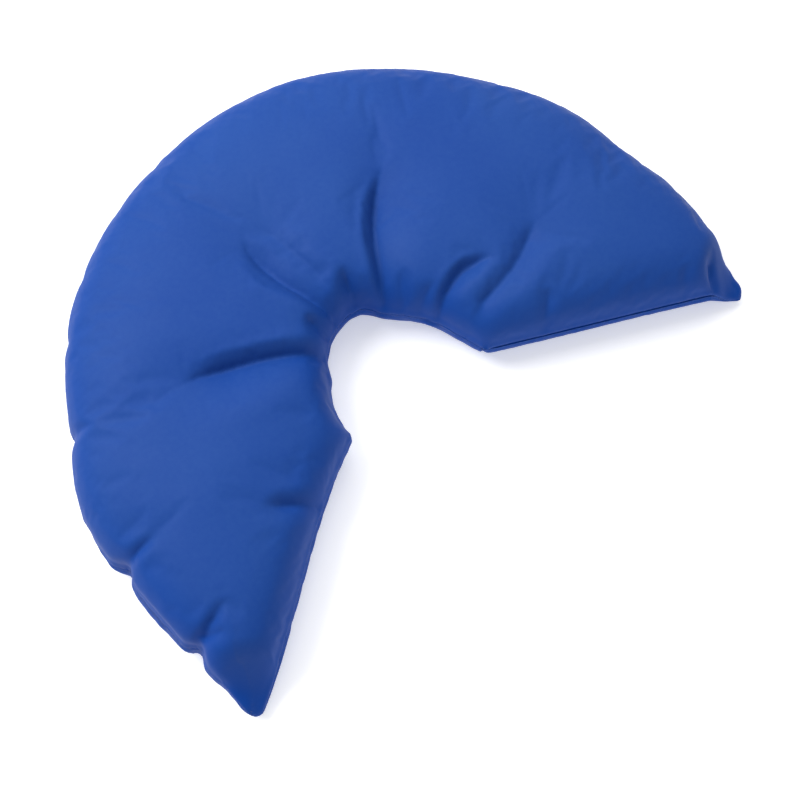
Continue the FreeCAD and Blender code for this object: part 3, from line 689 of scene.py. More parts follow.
@dataclass
class Cover:
    """The coated cover: two panels sewn face to face and turned, open along the zip."""

    stuffing: PaddedCrescent
    cloth: float = 1.0 * MM
    allowance: float = 9 * MM
    seam_gap: float = 0.15 * MM
    groove: float = 1.4 * MM
    gather_height: float = 0.9 * MM
    belly: float = 2.0 * MM
    slump: float = 5.0 * MM
    slump_degrees: float = 185.0
    slump_width: float = 14.0
    turning: tuple[float, ...] = (0.12, 0.4, 0.7, 1.0)
    gather_fade: float = 0.014
    lip_fade: float = 0.012
    gathers: tuple[tuple[float, float, float], ...] = (
        (0.019, 0.45, 0.3), (0.031, 0.6, 1.9), (0.047, 0.7, 4.1), (0.083, 0.5, 2.2))

    def dressed_shell(self, side: Side) -> Shell:
        """Refines one panel, gathers it along the seam and opens it over the zip.

        Args:
            side: which panel.

        Returns:
            The panel's outer face.
        """
        outline = self.stuffing.outline
        shell = (self.stuffing.upper if side is Side.TOP else self.stuffing.lower).finer()
        rim = shell.rim
        rim_points = shell.points[:rim].copy()
        run = shell.marks[:, 0]
        nearest = np.clip(np.searchsorted(shell.marks[:rim, 0], run), 0, rim - 1)
        level = rim_points[nearest, 2]
        from_seam = np.hypot(shell.marks[:, 1], shell.points[:, 2] - level)
        shell.marks[:, 1] = from_seam
        zip_line = outline.zip_line
        beside = np.clip(np.searchsorted(outline.run, run), 0, len(outline.run) - 1)
        loose = outline.gather[beside] * (1 - zip_line.span(shell.points[:, :2], 0.03))
        turn = (outline.bearing[beside] - self.slump_degrees) / self.slump_width
        slump = outline.on_back[beside] * np.exp(-turn ** 2)
        out = np.column_stack([-outline.inward[beside], np.zeros(len(run))])
        wave = ripple(run, self.gathers)
        height = wave * self.gather_height * np.exp(-from_seam / self.gather_fade)
        height *= smoothstep(0.0, 0.004, from_seam)
        bulge = self.groove * np.exp(-((from_seam - 0.006) / 0.005) ** 2)
        press = np.zeros(len(run))
        if side is Side.TOP:
            for fold in self.stuffing.folds:
                press += fold.crease(shell.points[:, :2])
        press *= smoothstep(0.002, 0.02, from_seam)
        rise = height * loose + bulge - press
        shell.points += shell.normals() * (rise * (from_seam > 1e-6))[:, None]
        if side is Side.BOTTOM:
            belly = self.belly + self.slump * slump
            shell.points += out * (belly * np.exp(-((from_seam - 0.017) / 0.011) ** 2))[:, None]
        else:
            tuck = 0.6 * self.slump * slump * np.exp(-((from_seam - 0.014) / 0.012) ** 2)
            shell.points -= out * tuck[:, None]
        shell.points[:rim] = rim_points
        shell.points[:, 2] = np.maximum(shell.points[:, 2], 0.0)
        opening = zip_line.span(shell.points[:, :2], self.lip_fade)
        lift = (zip_line.half_gap - self.seam_gap) * opening * np.exp(-from_seam / self.lip_fade)
        shell.points[:, 2] += side.value * (lift + self.seam_gap * np.exp(-from_seam / 0.002))
        return shell

    def build_panel(self, side: Side) -> tuple[bpy.types.Object, Shell]:
        """Makes one panel with its turned-in edge and its cloth's thickness.

        Args:
            side: which panel.

        Returns:
            The finished panel, and its outer face without the turned-in edge.
        """
        shell = self.dressed_shell(side)
        rim = shell.rim
        outline = self.stuffing.outline
        edge = shell.points[:rim]
        ahead = np.roll(edge, -1, axis=0)[:, :2] - np.roll(edge, 1, axis=0)[:, :2]
        for _ in range(3):
            ahead = 0.5 * ahead + 0.25 * (np.roll(ahead, 1, axis=0) + np.roll(ahead, -1, axis=0))
        ahead /= np.linalg.norm(ahead, axis=1, keepdims=True)
        inward = np.stack([-ahead[:, 1], ahead[:, 0], np.zeros(rim)], axis=1)
        opening = outline.zip_line.span(edge[:, :2], 0.012)
        reach = self.allowance + (outline.zip_line.hem - self.allowance) * opening
        for _ in range(3):
            tight = outline.depth((edge + inward * reach[:, None])[:, :2])[0] < 0.8 * reach
            reach = np.where(tight, 0.5 * reach, reach)
        for _ in range(6):
            reach = np.minimum(reach, 0.5 * reach + 0.25 * (np.roll(reach, 1) + np.roll(reach, -1)))
        rows = [edge + inward * (reach * share)[:, None] for share in self.turning]
        points = np.vstack([shell.points, *rows])
        marks = np.vstack([shell.marks] + [np.column_stack([shell.marks[:rim, 0], -reach * share])
                                           for share in self.turning])
        strips = []
        starts = [0] + [len(shell.points) + k * rim for k in range(len(self.turning))]
        here = np.arange(rim)
        after = (here + 1) % rim
        for outer, inner in zip(starts, starts[1:]):
            quad = [outer + here, inner + here, inner + after, outer + after]
            strips.append(np.stack([quad[0], quad[1], quad[2]], axis=1))
            strips.append(np.stack([quad[0], quad[2], quad[3]], axis=1))
        strip = np.vstack(strips)
        if side is Side.BOTTOM:
            strip = strip[:, ::-1]
        triangles = np.vstack([shell.triangles, strip[:, ::-1]])
        outer = Shell(points, triangles, rim, marks)
        return self.thicken(outer, starts[-1], "cover_" + side.name.lower()), shell

    def thicken(self, outer: Shell, last_row: int, name: str) -> bpy.types.Object:
        """Gives a single skin its cloth's thickness on the inside and closes its raw edge.

        Args:
            outer: the outer skin.
            last_row: where the points of its raw edge start.
            name: the piece's name.

        Returns:
            The finished piece.
        """
        normals = outer.normals()
        inner = outer.points - normals * self.cloth
        count = len(outer.points)
        edge = last_row + np.arange(outer.rim)
        after = last_row + (np.arange(outer.rim) + 1) % outer.rim
        band = np.vstack([np.stack([edge, after, after + count], axis=1),
                          np.stack([edge, after + count, edge + count], axis=1)])
        owner = outer.triangles[np.any(outer.triangles == edge[0], axis=1)
                                & np.any(outer.triangles == after[0], axis=1)][0]
        place = list(owner).index(edge[0])
        if owner[(place + 1) % 3] == after[0]:
            band = band[:, ::-1]
        triangles = np.vstack([outer.triangles, outer.triangles[:, ::-1] + count, band])
        return new_piece(name, np.vstack([outer.points, inner]), triangles,
                         np.vstack([outer.marks, outer.marks]))


# ---------------------------------------------------------------- finishes


class Wire:
    """A node's output with arithmetic that adds Math nodes."""

    def __init__(self, graph: "Graph", socket: bpy.types.NodeSocket) -> None:
        """Keeps the socket and the graph it belongs to."""
        self.graph = graph
        self.socket = socket

    def _math(self, operation: str, first: "Wire | float", second: "Wire | float") -> "Wire":
        """Adds one Math node."""
        return self.graph.add("ShaderNodeMath", {"operation": operation}, {0: first, 1: second})["Value"]

    def __add__(self, other: "Wire | float") -> "Wire":
        """self + other."""
        return self._math("ADD", self, other)

    def __radd__(self, other: float) -> "Wire":
        """other + self."""
        return self._math("ADD", other, self)

    def __sub__(self, other: "Wire | float") -> "Wire":
        """self - other."""
        return self._math("SUBTRACT", self, other)

    def __rsub__(self, other: float) -> "Wire":
        """other - self."""
        return self._math("SUBTRACT", other, self)

    def __mul__(self, other: "Wire | float") -> "Wire":
        """self * other."""
        return self._math("MULTIPLY", self, other)

    def __rmul__(self, other: float) -> "Wire":
        """other * self."""
        return self._math("MULTIPLY", other, self)

    def sine(self) -> "Wire":
        """The sine, in radians."""
        return self._math("SINE", self, 0.0)

    def clipped(self, low: float, high: float) -> "Wire":
        """Runs linearly from 0 at low to 1 at high, and no further."""
        return self.graph.add("ShaderNodeMapRange", {"clamp": True},
                              {"Value": self, "From Min": low, "From Max": high})["Result"]


class NodeOutputs:
    """A node's outputs by name, each as a Wire."""

    def __init__(self, graph: "Graph", node: bpy.types.Node) -> None:
        """Keeps the node."""
        self.graph = graph
        self.node = node

    def __getitem__(self, name: str) -> Wire:
        """The enabled output of that name."""
        return Wire(self.graph, next(o for o in self.node.outputs if o.name == name and o.enabled))


class Graph:
    """One material's node tree."""

    def __init__(self, name: str) -> None:
        """Makes the material with its Principled shader."""
        self.material = bpy.data.materials.new(name)
        self.material.use_nodes = True
        self.tree = self.material.node_tree
        self.shader = self.tree.nodes["Principled BSDF"]

    def add(self, kind: str, settings: dict | None = None, values: dict | None = None) -> NodeOutputs:
        """Adds a node.

        Args:
            kind: the node's type.
            settings: its own properties, set before its sockets.
            values: socket name or index to a constant or a Wire.

        Returns:
            The node's outputs.
        """
        node = self.tree.nodes.new(kind)
        for key, value in (settings or {}).items():
            setattr(node, key, value)
        for key, value in (values or {}).items():
            names = [s for s in node.inputs if s.enabled and s.name == key] if isinstance(key, str) else []
            self.plug(names[0] if names else node.inputs[key], value)
        return NodeOutputs(self, node)

    def plug(self, socket: bpy.types.NodeSocket, value: "Wire | float | tuple") -> None:
        """Links a Wire to a socket, or sets its constant."""
        if isinstance(value, Wire):
            self.tree.links.new(value.socket, socket)
        elif isinstance(value, tuple) and len(value) == 3 and socket.type == "RGBA":
            socket.default_value = (*value, 1.0)
        else:
            socket.default_value = value

    def surface(self, **values: "Wire | float | tuple") -> None:
        """Sets the shader's sockets, with underscores for the spaces in their names."""
        for name, value in values.items():
            self.plug(self.shader.inputs[name.replace("_", " ")], value)

    def place(self) -> Wire:
        """The point's place on the object, in metres."""
        return self.add("ShaderNodeTexCoord")["Object"]

    def seam_place(self) -> tuple[Wire, Wire]:
        """The run along the seam and the distance from it, from the Seam map."""
        uv = self.add("ShaderNodeUVMap", {"uv_map": "Seam"})["UV"]
        parts = self.add("ShaderNodeSeparateXYZ", None, {"Vector": uv})
        return parts["X"], parts["Y"]

    def noise(self, size: float, detail: float = 3.0, roughness: float = 0.5) -> Wire:
        """Smooth noise whose features are about size metres wide."""
        return self.add("ShaderNodeTexNoise", None, {"Vector": self.place(), "Scale": 1.0 / size,
                                                     "Detail": detail, "Roughness": roughness})["Fac"]

    def ribs(self, direction: str, pitch: float) -> Wire:
        """Fine ridges across one axis, with their pitch in metres."""
        return self.add("ShaderNodeTexWave", {"bands_direction": direction},
                        {"Vector": self.place(), "Scale": RIB_SCALE / pitch, "Distortion": 0.0})["Fac"]

    def blend(self, share: "Wire | float", first: "Wire | tuple", second: "Wire | tuple") -> Wire:
        """Mixes two colours."""
        return self.add("ShaderNodeMix", {"data_type": "RGBA"},
                        {"Factor": share, "A": first, "B": second})["Result"]

    def bump(self, height: Wire, strength: float, distance: float, below: Wire | None = None) -> Wire:
        """Turns a height into a normal, over another normal if given."""
        values = {"Height": height, "Strength": strength, "Distance": distance}
        if below is not None:
            values["Normal"] = below
        return self.add("ShaderNodeBump", None, values)["Normal"]


@dataclass(frozen=True)
class CoatedCloth:
    """Satin polyurethane-coated knit."""

    colour: tuple[float, float, float] = (0.0165, 0.0690, 0.3000)
    deep: tuple[float, float, float] = (0.0110, 0.0570, 0.2850)
    # painted shade: the deeper, more saturated blue laid on towards the seam
    painted_edge_shade: tuple[float, float, float] = (0.0020, 0.0560, 0.3400)
    # partly rubbed wear, partly a painted highlight along the seam's lip
    worn: tuple[float, float, float] = (0.0160, 0.0800, 0.3550)
    stitch_pitch: float = 4.0 * MM
    knit_pitch: float = 0.9 * MM

    def material(self) -> bpy.types.Material:
        """Builds the cloth's material."""
        graph = Graph("coated_cloth_blue")
        run, off = graph.seam_place()
        patches = graph.noise(0.16, 2.0)
        mottle = graph.noise(0.006, 4.0, 0.6)
        cloudy = graph.blend((patches * 0.6 + mottle * 0.4).clipped(0.35, 0.65), self.deep, self.colour)
        # Painted shade: from 75 mm in, the colour deepens towards the seam, where the padded surface turns
        # down.
        cloudy = graph.blend((1.0 - off.clipped(0.006, 0.075)) * 0.9, cloudy, self.painted_edge_shade)
        # A paler band within 3.5 mm of the seam: partly rubbed wear, partly a painted highlight on the seam's
        # lip.
        near_seam = 1.0 - off.clipped(0.0004, 0.0035)
        rub_and_sheen = near_seam * graph.noise(0.012, 3.0).clipped(0.45, 0.7)
        graph.surface(Base_Color=graph.blend(rub_and_sheen * 0.55, cloudy, self.worn))
        graph.surface(Roughness=0.50 + 0.12 * graph.noise(0.03, 3.0) - 0.06 * rub_and_sheen)
        graph.surface(Specular_IOR_Level=0.1, Sheen_Weight=0.01, Sheen_Roughness=0.4)
        knit = graph.ribs("X", self.knit_pitch) * graph.ribs("Y", self.knit_pitch * 1.15)
        grain = graph.noise(0.0016, 2.0)
        wrinkles = graph.noise(0.028, 2.0, 0.45)
        dimples = (run * (2 * math.pi / self.stitch_pitch)).sine().clipped(0.2, 1.0)
        by_stitches = dimples * (1.0 - off.clipped(0.0008, 0.0042))
        fine = graph.bump(knit * 0.5 + grain * 0.5, 0.35, 0.05 * MM)
        soft = graph.bump(wrinkles, 0.5, 0.5 * MM, fine)
        graph.surface(Normal=graph.bump(1.0 - by_stitches, 0.8, 0.35 * MM, soft))
        return graph.material


@dataclass(frozen=True)
class WovenCloth:
    """A plain weave: the liner's cotton or the zip's tape."""

    name: str
    colour: tuple[float, float, float]
    deep: tuple[float, float, float]
    thread: float
    roughness: float = 0.85

    def material(self) -> bpy.types.Material:
        """Builds the weave's material."""
        graph = Graph(self.name)
        warp = graph.ribs("X", self.thread)
        weft = graph.ribs("Y", self.thread)
        raised = graph.ribs("Z", self.thread) * 0.34 + warp * 0.33 + weft * 0.33
        slub = graph.noise(0.02, 4.0, 0.6)
        # Partly random slub tone, partly painted shade: the colour goes to the deeper one where the threads
        # dip.
        graph.surface(Base_Color=graph.blend((raised * 0.5 + slub * 0.5).clipped(0.3, 0.7),
                                             self.deep, self.colour))
        graph.surface(Roughness=self.roughness - 0.08 * raised, Sheen_Weight=0.15)
        graph.surface(Normal=graph.bump(raised, 0.6, 0.08 * MM))
        return graph.material


@dataclass(frozen=True)
class TwistedThread:
    """Plied sewing thread."""

    name: str
    colour: tuple[float, float, float]
    deep: tuple[float, float, float]
    twist: float = 0.7 * MM

    def material(self) -> bpy.types.Material:
        """Builds the thread's material."""
        graph = Graph(self.name)
        plies = graph.add("ShaderNodeTexWave", {"bands_direction": "DIAGONAL"},
                          {"Vector": graph.place(), "Scale": RIB_SCALE / self.twist,
                           "Distortion": 1.5})["Fac"]
        # Painted shade: the deeper colour lies in the grooves between the plies.
        graph.surface(Base_Color=graph.blend(plies, self.deep, self.colour))
        graph.surface(Roughness=0.55 + 0.15 * plies, Sheen_Weight=0.2)
        graph.surface(Normal=graph.bump(plies, 0.7, 0.06 * MM))
        return graph.material


@dataclass(frozen=True)
class MouldedNylon:
    """Drawn nylon of the zip's coils."""

    colour: tuple[float, float, float] = (0.012, 0.045, 0.21)
    worn: tuple[float, float, float] = (0.06, 0.12, 0.33)

    def material(self) -> bpy.types.Material:
        """Builds the nylon's material."""
        graph = Graph("zip_nylon_blue")
        streaks = graph.noise(0.0015, 3.0)
        graph.surface(Base_Color=graph.blend(streaks.clipped(0.45, 0.75), self.colour, self.worn))
        graph.surface(Roughness=0.32 + 0.15 * streaks, Specular_IOR_Level=0.5)
        graph.surface(Normal=graph.bump(streaks, 0.25, 0.03 * MM))
        return graph.material


@dataclass(frozen=True)
class PlatedZinc:
    """Nickel-plated zinc of the slider, pull and stops."""

    bright: tuple[float, float, float] = (0.56, 0.55, 0.53)
    dull: tuple[float, float, float] = (0.34, 0.33, 0.32)

    def material(self) -> bpy.types.Material:
        """Builds the metal's material."""
        graph = Graph("zip_plated_zinc")
        scuffs = graph.noise(0.0022, 5.0, 0.65)
        cloud = graph.noise(0.006, 2.0)
        graph.surface(Base_Color=graph.blend((scuffs * 0.6 + cloud * 0.4).clipped(0.4, 0.65),
                                             self.dull, self.bright))
        graph.surface(Metallic=0.95 - 0.15 * scuffs, Roughness=0.24 + 0.22 * scuffs)
        graph.surface(Normal=graph.bump(scuffs, 0.3, 0.04 * MM))
        return graph.material


@dataclass(frozen=True)
class FoamBeads:
    """Expanded polystyrene beads, packed."""

    bead: float = 3.0 * MM

    def material(self) -> bpy.types.Material:
        """Builds the beads' material."""
        graph = Graph("polystyrene_beads")
        cells = graph.add("ShaderNodeTexVoronoi", {"feature": "F1"},
                          {"Vector": graph.place(), "Scale": 1.0 / self.bead})["Distance"]
        # Painted shade: the beads' white turns grey towards each cell's edge, in the gaps between beads.
        graph.surface(Base_Color=graph.blend(cells.clipped(0.3, 0.9), (0.90, 0.90, 0.89), (0.55, 0.56, 0.58)))
        graph.surface(Roughness=0.6 + 0.2 * cells, Subsurface_Weight=0.1)
        graph.surface(Normal=graph.bump(1.0 - cells, 0.9, 0.8 * MM))
        return graph.material


# ---------------------------------------------------------------- what repeats along a line


class LineTree:
    """A Geometry Nodes tree that repeats one small shape along a line."""

    def __init__(self, name: str, sizes: dict[str, float], closed: bool) -> None:
        """Starts the tree.

        Args:
            name: the tree's name.
            sizes: its named inputs and their usual values.
            closed: whether the line closes on itself.
        """
        self.tree = bpy.data.node_groups.new(name, "GeometryNodeTree")
        face = self.tree.interface
        face.new_socket("Line", in_out="INPUT", socket_type="NodeSocketGeometry")
        self.sockets = {}
        for label, value in sizes.items():
            socket = face.new_socket(label, in_out="INPUT", socket_type="NodeSocketFloat")
            socket.default_value = value
            self.sockets[label] = socket.identifier
        finish = face.new_socket("Finish", in_out="INPUT", socket_type="NodeSocketMaterial")
        self.sockets["Finish"] = finish.identifier
        face.new_socket("Result", in_out="OUTPUT", socket_type="NodeSocketGeometry")
        self.sizes = sizes
        self.closed = closed
        self.given = self.tree.nodes.new("NodeGroupInput")

    def add(self, kind: str, settings: dict | None = None, values: dict | None = None) -> bpy.types.Node:
        """Adds a node, with constants or links for its sockets."""
        node = self.tree.nodes.new(kind)
        for key, value in (settings or {}).items():
            setattr(node, key, value)
        for key, value in (values or {}).items():
            if isinstance(value, bpy.types.NodeSocket):
                self.tree.links.new(value, node.inputs[key])
            else:
                node.inputs[key].default_value = value
        return node

    def size(self, label: str) -> bpy.types.NodeSocket:
        """The named input's socket inside the tree."""
        return self.given.outputs[label]

    def stitch(self) -> bpy.types.NodeSocket:
        """One stitch: a short rounded strand lying along X."""
        half = [self.add("ShaderNodeMath", {"operation": "MULTIPLY"}, {0: self.size(n), 1: 0.5})
                for n in ("Length", "Thickness")]
        scale = self.add("ShaderNodeCombineXYZ", None, {"X": half[0].outputs[0], "Y": half[1].outputs[0],
                                                        "Z": half[1].outputs[0]})
        ball = self.add("GeometryNodeMeshUVSphere", None, {"Segments": 6, "Rings": 5, "Radius": 1.0})
        shaped = self.add("GeometryNodeTransform", None, {"Geometry": ball.outputs["Mesh"],
                                                          "Scale": scale.outputs["Vector"]})
        return shaped.outputs["Geometry"]

    def coil_turn(self) -> bpy.types.NodeSocket:
        """One turn of the coil about Z."""
        spiral = self.add("GeometryNodeCurveSpiral", None, {
            "Resolution": 10, "Rotations": 1.0, "Start Radius": self.size("Radius"),
            "End Radius": self.size("Radius"), "Height": self.size("Pitch")})
        ring = self.add("GeometryNodeCurvePrimitiveCircle", None, {"Resolution": 5,
                                                                   "Radius": self.size("Wire")})
        tube = self.add("GeometryNodeCurveToMesh", None, {"Curve": spiral.outputs["Curve"],
                                                          "Profile Curve": ring.outputs["Curve"]})
        return tube.outputs["Mesh"]

    def finish(self, shape: bpy.types.NodeSocket, axis: str) -> None:
        """Places the shape along the line, turned to it, and ends the tree."""
        curve = self.add("GeometryNodeMeshToCurve", None, {"Mesh": self.size("Line")})
        even = self.add("GeometryNodeResampleCurve", {"mode": "LENGTH"},
                        {"Curve": curve.outputs["Curve"], "Length": self.size("Pitch")})
        tangent = self.add("GeometryNodeInputTangent")
        turn = self.add("FunctionNodeAlignRotationToVector", {"axis": axis},
                        {"Vector": tangent.outputs["Tangent"]})
        placed = self.add("GeometryNodeInstanceOnPoints", None, {
            "Points": even.outputs["Curve"], "Instance": shape, "Rotation": turn.outputs["Rotation"]})
        real = self.add("GeometryNodeRealizeInstances", None, {"Geometry": placed.outputs["Instances"]})
        dressed = self.add("GeometryNodeSetMaterial", None, {"Geometry": real.outputs["Geometry"],
                                                             "Material": self.size("Finish")})
        end = self.tree.nodes.new("NodeGroupOutput")
        self.tree.links.new(dressed.outputs["Geometry"], end.inputs["Result"])

    def run(self, name: str, line: np.ndarray, material: bpy.types.Material) -> bpy.types.Object:
        """Repeats the shape along a line and keeps the plain mesh.

        Args:
            name: the piece's name.
            line: the line's points in metres.
            material: its finish.

        Returns:
            The finished piece.
        """
        count = len(line)
        pairs = [(k, k + 1) for k in range(count - 1)] + ([(count - 1, 0)] if self.closed else [])
        mesh = bpy.data.meshes.new(name + "_line")
        mesh.from_pydata(line.tolist(), pairs, [])
        piece = bpy.data.objects.new(name, mesh)
        bpy.context.scene.collection.objects.link(piece)
        modifier = piece.modifiers.new("repeat", "NODES")
        modifier.node_group = self.tree
        for label, value in self.sizes.items():
            modifier[self.sockets[label]] = value
        modifier[self.sockets["Finish"]] = material
        bpy.context.view_layer.update()
        evaluated = piece.evaluated_get(bpy.context.evaluated_depsgraph_get())
        result = bpy.data.meshes.new_from_object(evaluated)
        piece.modifiers.clear()
        piece.data = result
        bpy.data.meshes.remove(mesh)
        result.name = name
        result.shade_smooth()
        if not result.materials:
            result.materials.append(material)
        LOG.info("%s: %d faces", name, len(result.polygons))
        return piece


def stitch_tree(name: str, pitch: float, length: float, thickness: float, closed: bool) -> LineTree:
    """A tree that lays stitches end to end along a line."""
    tree = LineTree(name, {"Pitch": pitch, "Length": length, "Thickness": thickness}, closed)
    tree.finish(tree.stitch(), "X")
    return tree


def coil_tree(name: str, pitch: float, radius: float, wire: float) -> LineTree:
    """A tree that joins single turns into a coil along a line."""
    tree = LineTree(name, {"Pitch": pitch, "Radius": radius, "Wire": wire}, False)
    tree.finish(tree.coil_turn(), "Z")
    return tree


def declare(piece: bpy.types.Object, slot: str, *nodes: str) -> None:
    """Rides a piece on the cover and hides the nodes it stands for; the slot argument is not used."""
    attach(piece, COVER_BODY)
    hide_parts(*nodes)
    LOG.info("%s stands for %s", piece.name, ", ".join(nodes))


@dataclass
class CoverStitching:
    """The needle and bobbin threads of the closing seam, inside its turned-in edge."""

    cover: Cover
    setback: float = 3.0 * MM
    pitch: float = 4.0 * MM
    length: float = 3.5 * MM
    thickness: float = 0.5 * MM

    def build(self, material: bpy.types.Material) -> None:
        """Lays both rows of stitches, broken where the zip opens the seam."""
        outline = self.cover.stuffing.outline
        rim = np.column_stack([outline.plan + outline.inward * self.setback, outline.height])
        open_here = outline.zip_line.span(outline.plan, 0.012) > 0.02
        first = int(np.flatnonzero(open_here)[-1]) + 1
        line = np.roll(rim, -first, axis=0)[:int((~open_here).sum())]
        tree = stitch_tree("seam_stitches", self.pitch, self.length, self.thickness, False)
        lift = self.cover.cloth + self.cover.seam_gap + 0.5 * self.thickness
        for name, node, side in (("needle_stitches", "cover_needle_thread", Side.TOP),
                                 ("bobbin_stitches", "cover_bobbin_thread", Side.BOTTOM)):
            row = tree.run(name, line + [0.0, 0.0, side.value * lift], material)
            declare(row, "cover_thread", node)


@dataclass
class ConcealedZip:
    """The nylon coil zip behind the straight seam."""

    zip_line: ZipLine
    pitch: float = 1.3 * MM
    wire: float = 0.36 * MM
    stitch_pitch: float = 3.0 * MM

    def middle_of(self, node: str) -> tuple[np.ndarray, np.ndarray]:
        """A packed zip node's lowest and highest corner along, into and above the zip."""
        off = points_of(node) - self.zip_line.start
        local = np.stack([off @ self.zip_line.along, off @ self.zip_line.inward, off[:, 2]], axis=1)
        return local.min(axis=0), local.max(axis=0)

    def build(self, nylon: bpy.types.Material, thread: bpy.types.Material,
              tape: bpy.types.Material, zinc: bpy.types.Material) -> None:
        """Winds the coils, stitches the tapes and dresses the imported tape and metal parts."""
        for half in ("upper", "lower"):
            low, high = self.middle_of(f"zip_coil_{half}")
            middle = 0.5 * (low + high)
            radius = 0.5 * (high[2] - low[2]) - self.wire
            ends = [self.zip_line.at(x, middle[1], middle[2]) for x in (low[0] + self.wire,
                                                                       high[0] - self.pitch - self.wire)]
            coil = coil_tree(f"coil_turns_{half}", self.pitch, radius, self.wire).run(
                f"coil_{half}", evenly_spaced(np.array(ends), 10 * MM), nylon)
            declare(coil, "zip_coil", f"zip_coil_{half}")
            low, high = self.middle_of(f"zip_stitching_{half}")
            middle = 0.5 * (low + high)
            row = [self.zip_line.at(x, middle[1], middle[2]) for x in (low[0] + 2 * MM, high[0] - 2 * MM)]
            stitches = stitch_tree(f"tape_stitches_{half}", self.stitch_pitch, 2.6 * MM, 0.5 * MM, False).run(
                f"tape_stitching_{half}", evenly_spaced(np.array(row), 10 * MM), thread)
            declare(stitches, "cover_thread", f"zip_stitching_{half}")
            self.dress(f"zip_tape_{half}", tape)
        for node in ("zip_bottom_stop", "zip_top_stop_upper", "zip_top_stop_lower", "zip_slider", "zip_pull"):
            self.dress(node, zinc)

    def dress(self, node: str, material: bpy.types.Material) -> None:
        """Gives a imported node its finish."""
        mesh = frame["nodes"][node].data
        mesh.materials.clear()
        mesh.materials.append(material)


@dataclass
class InnerBag:
    """The loose liner and its beads, which follow the settled cover from inside."""

    stuffing: PaddedCrescent
    upper: Shell
    lower: Shell
    setback: float = 19 * MM
    spacing: float = 6.5 * MM
    clearance: float = 3.5 * MM
    cloth: float = 0.6 * MM
    bead_gap: float = 0.5 * MM
    round_off: float = 9 * MM
    search: float = 5 * MM

    def build(self, cotton: bpy.types.Material, thread: bpy.types.Material,
              beads: bpy.types.Material) -> None:
        """Makes the liner's two panels, their overlocked edge and the filling."""
        self.net = self.inset_net(self.setback)
        for side in Side:
            skin = self.skin(self.net, side, 0.0)
            panel = Cover(self.stuffing, cloth=self.cloth).thicken(skin, 0, "liner_" + side.name.lower())
            panel.data.materials.append(cotton)
            declare(panel, "liner_cloth", f"liner_{side.name.lower()}_panel")
        rim = self.skin(self.net, Side.TOP, 0.0).points[:self.net.rim]
        tree = stitch_tree("overlock", 2.5 * MM, 2.4 * MM, 0.8 * MM, True)
        declare(tree.run("overlock_stitches", rim, thread), "liner_thread", "liner_overlock_thread")
        inner = self.inset_net(self.setback + 2 * (self.cloth + self.bead_gap))
        top = self.skin(inner, Side.TOP, self.cloth + self.bead_gap)
        base = self.skin(inner, Side.BOTTOM, self.cloth + self.bead_gap)
        below = base.triangles.copy()
        below[below >= inner.rim] += len(top.points) - inner.rim
        filling = new_piece("bead_fill", np.vstack([top.points, base.points[inner.rim:]]),
                            np.vstack([top.triangles, below]))
        filling.data.materials.append(beads)
        declare(filling, "filling", "bead_filling")

    def inset_net(self, setback: float) -> Net:
        """A coarser net inside the cover's seam."""
        outline = self.stuffing.outline
        row = outline.plan + setback * outline.inward
        row = row[outline.depth(row)[0] > 0.97 * setback]
        row = evenly_spaced(np.vstack([row, row[:1]]), self.spacing)[:-1]
        for _ in range(4):
            row = 0.5 * row + 0.25 * (np.roll(row, 1, axis=0) + np.roll(row, -1, axis=0))
        inner = Outline(outline.zip_line, spacing=self.spacing)
        inner.plan = row
        ahead = np.roll(row, -1, axis=0) - np.roll(row, 1, axis=0)
        ahead /= np.linalg.norm(ahead, axis=1, keepdims=True)
        inner.inward = np.stack([-ahead[:, 1], ahead[:, 0]], axis=1)
        inner.closed = np.vstack([row, row[:1]])
        return inner.net()

    def skin(self, net: Net, side: Side, inset: float) -> Shell:
        """One side of the bag, under the cover by its clearance, closed down to the edge.

        Args:
            net: the bag's points in plan.
            side: which side of the bag.
            inset: how far it lies inside the liner's outer face.

        Returns:
            The side as a single skin.
        """
        shell = self.upper if side is Side.TOP else self.lower
        tree = BVHTree.FromPolygons(shell.points.tolist(), shell.triangles.tolist())
        reach = self.search
        level = np.full(len(net.plan), -1.0)
        for dx, dy in ((0, 0), (reach, 0), (-reach, 0), (0, reach), (0, -reach)):
            for k, (x, y) in enumerate(net.plan):
                hit = tree.ray_cast(Vector((x + dx, y + dy, side.value)), Vector((0, 0, -side.value)))[0]
                if hit is not None:
                    height = side.value * hit.z
                    level[k] = height if level[k] == -1.0 else min(level[k], height)
        seam_level = self.stuffing.outline.zip_line.height
        run = self.stuffing.outline.depth(net.plan[:net.rim])[1]
        rim_level = np.interp(run, self.stuffing.outline.run, self.stuffing.outline.height)
        base = net.relaxed(rim_level, 0.12, seam_level)
        grow = net.relaxed(np.zeros(net.rim), self.round_off, 1.0)
        rounded = np.sqrt(np.maximum(1 - (1 - grow) ** 2, 0.0))
        room = np.maximum(level - self.clearance - inset - side.value * base, 0.5 * MM)
        height = base + side.value * room * rounded
        height[:net.rim] = rim_level
        triangles = net.triangles if side is Side.TOP else net.triangles[:, ::-1]
        points = np.column_stack([net.plan, height])
        return Shell(points, triangles, net.rim, np.zeros((len(net.plan), 2)))


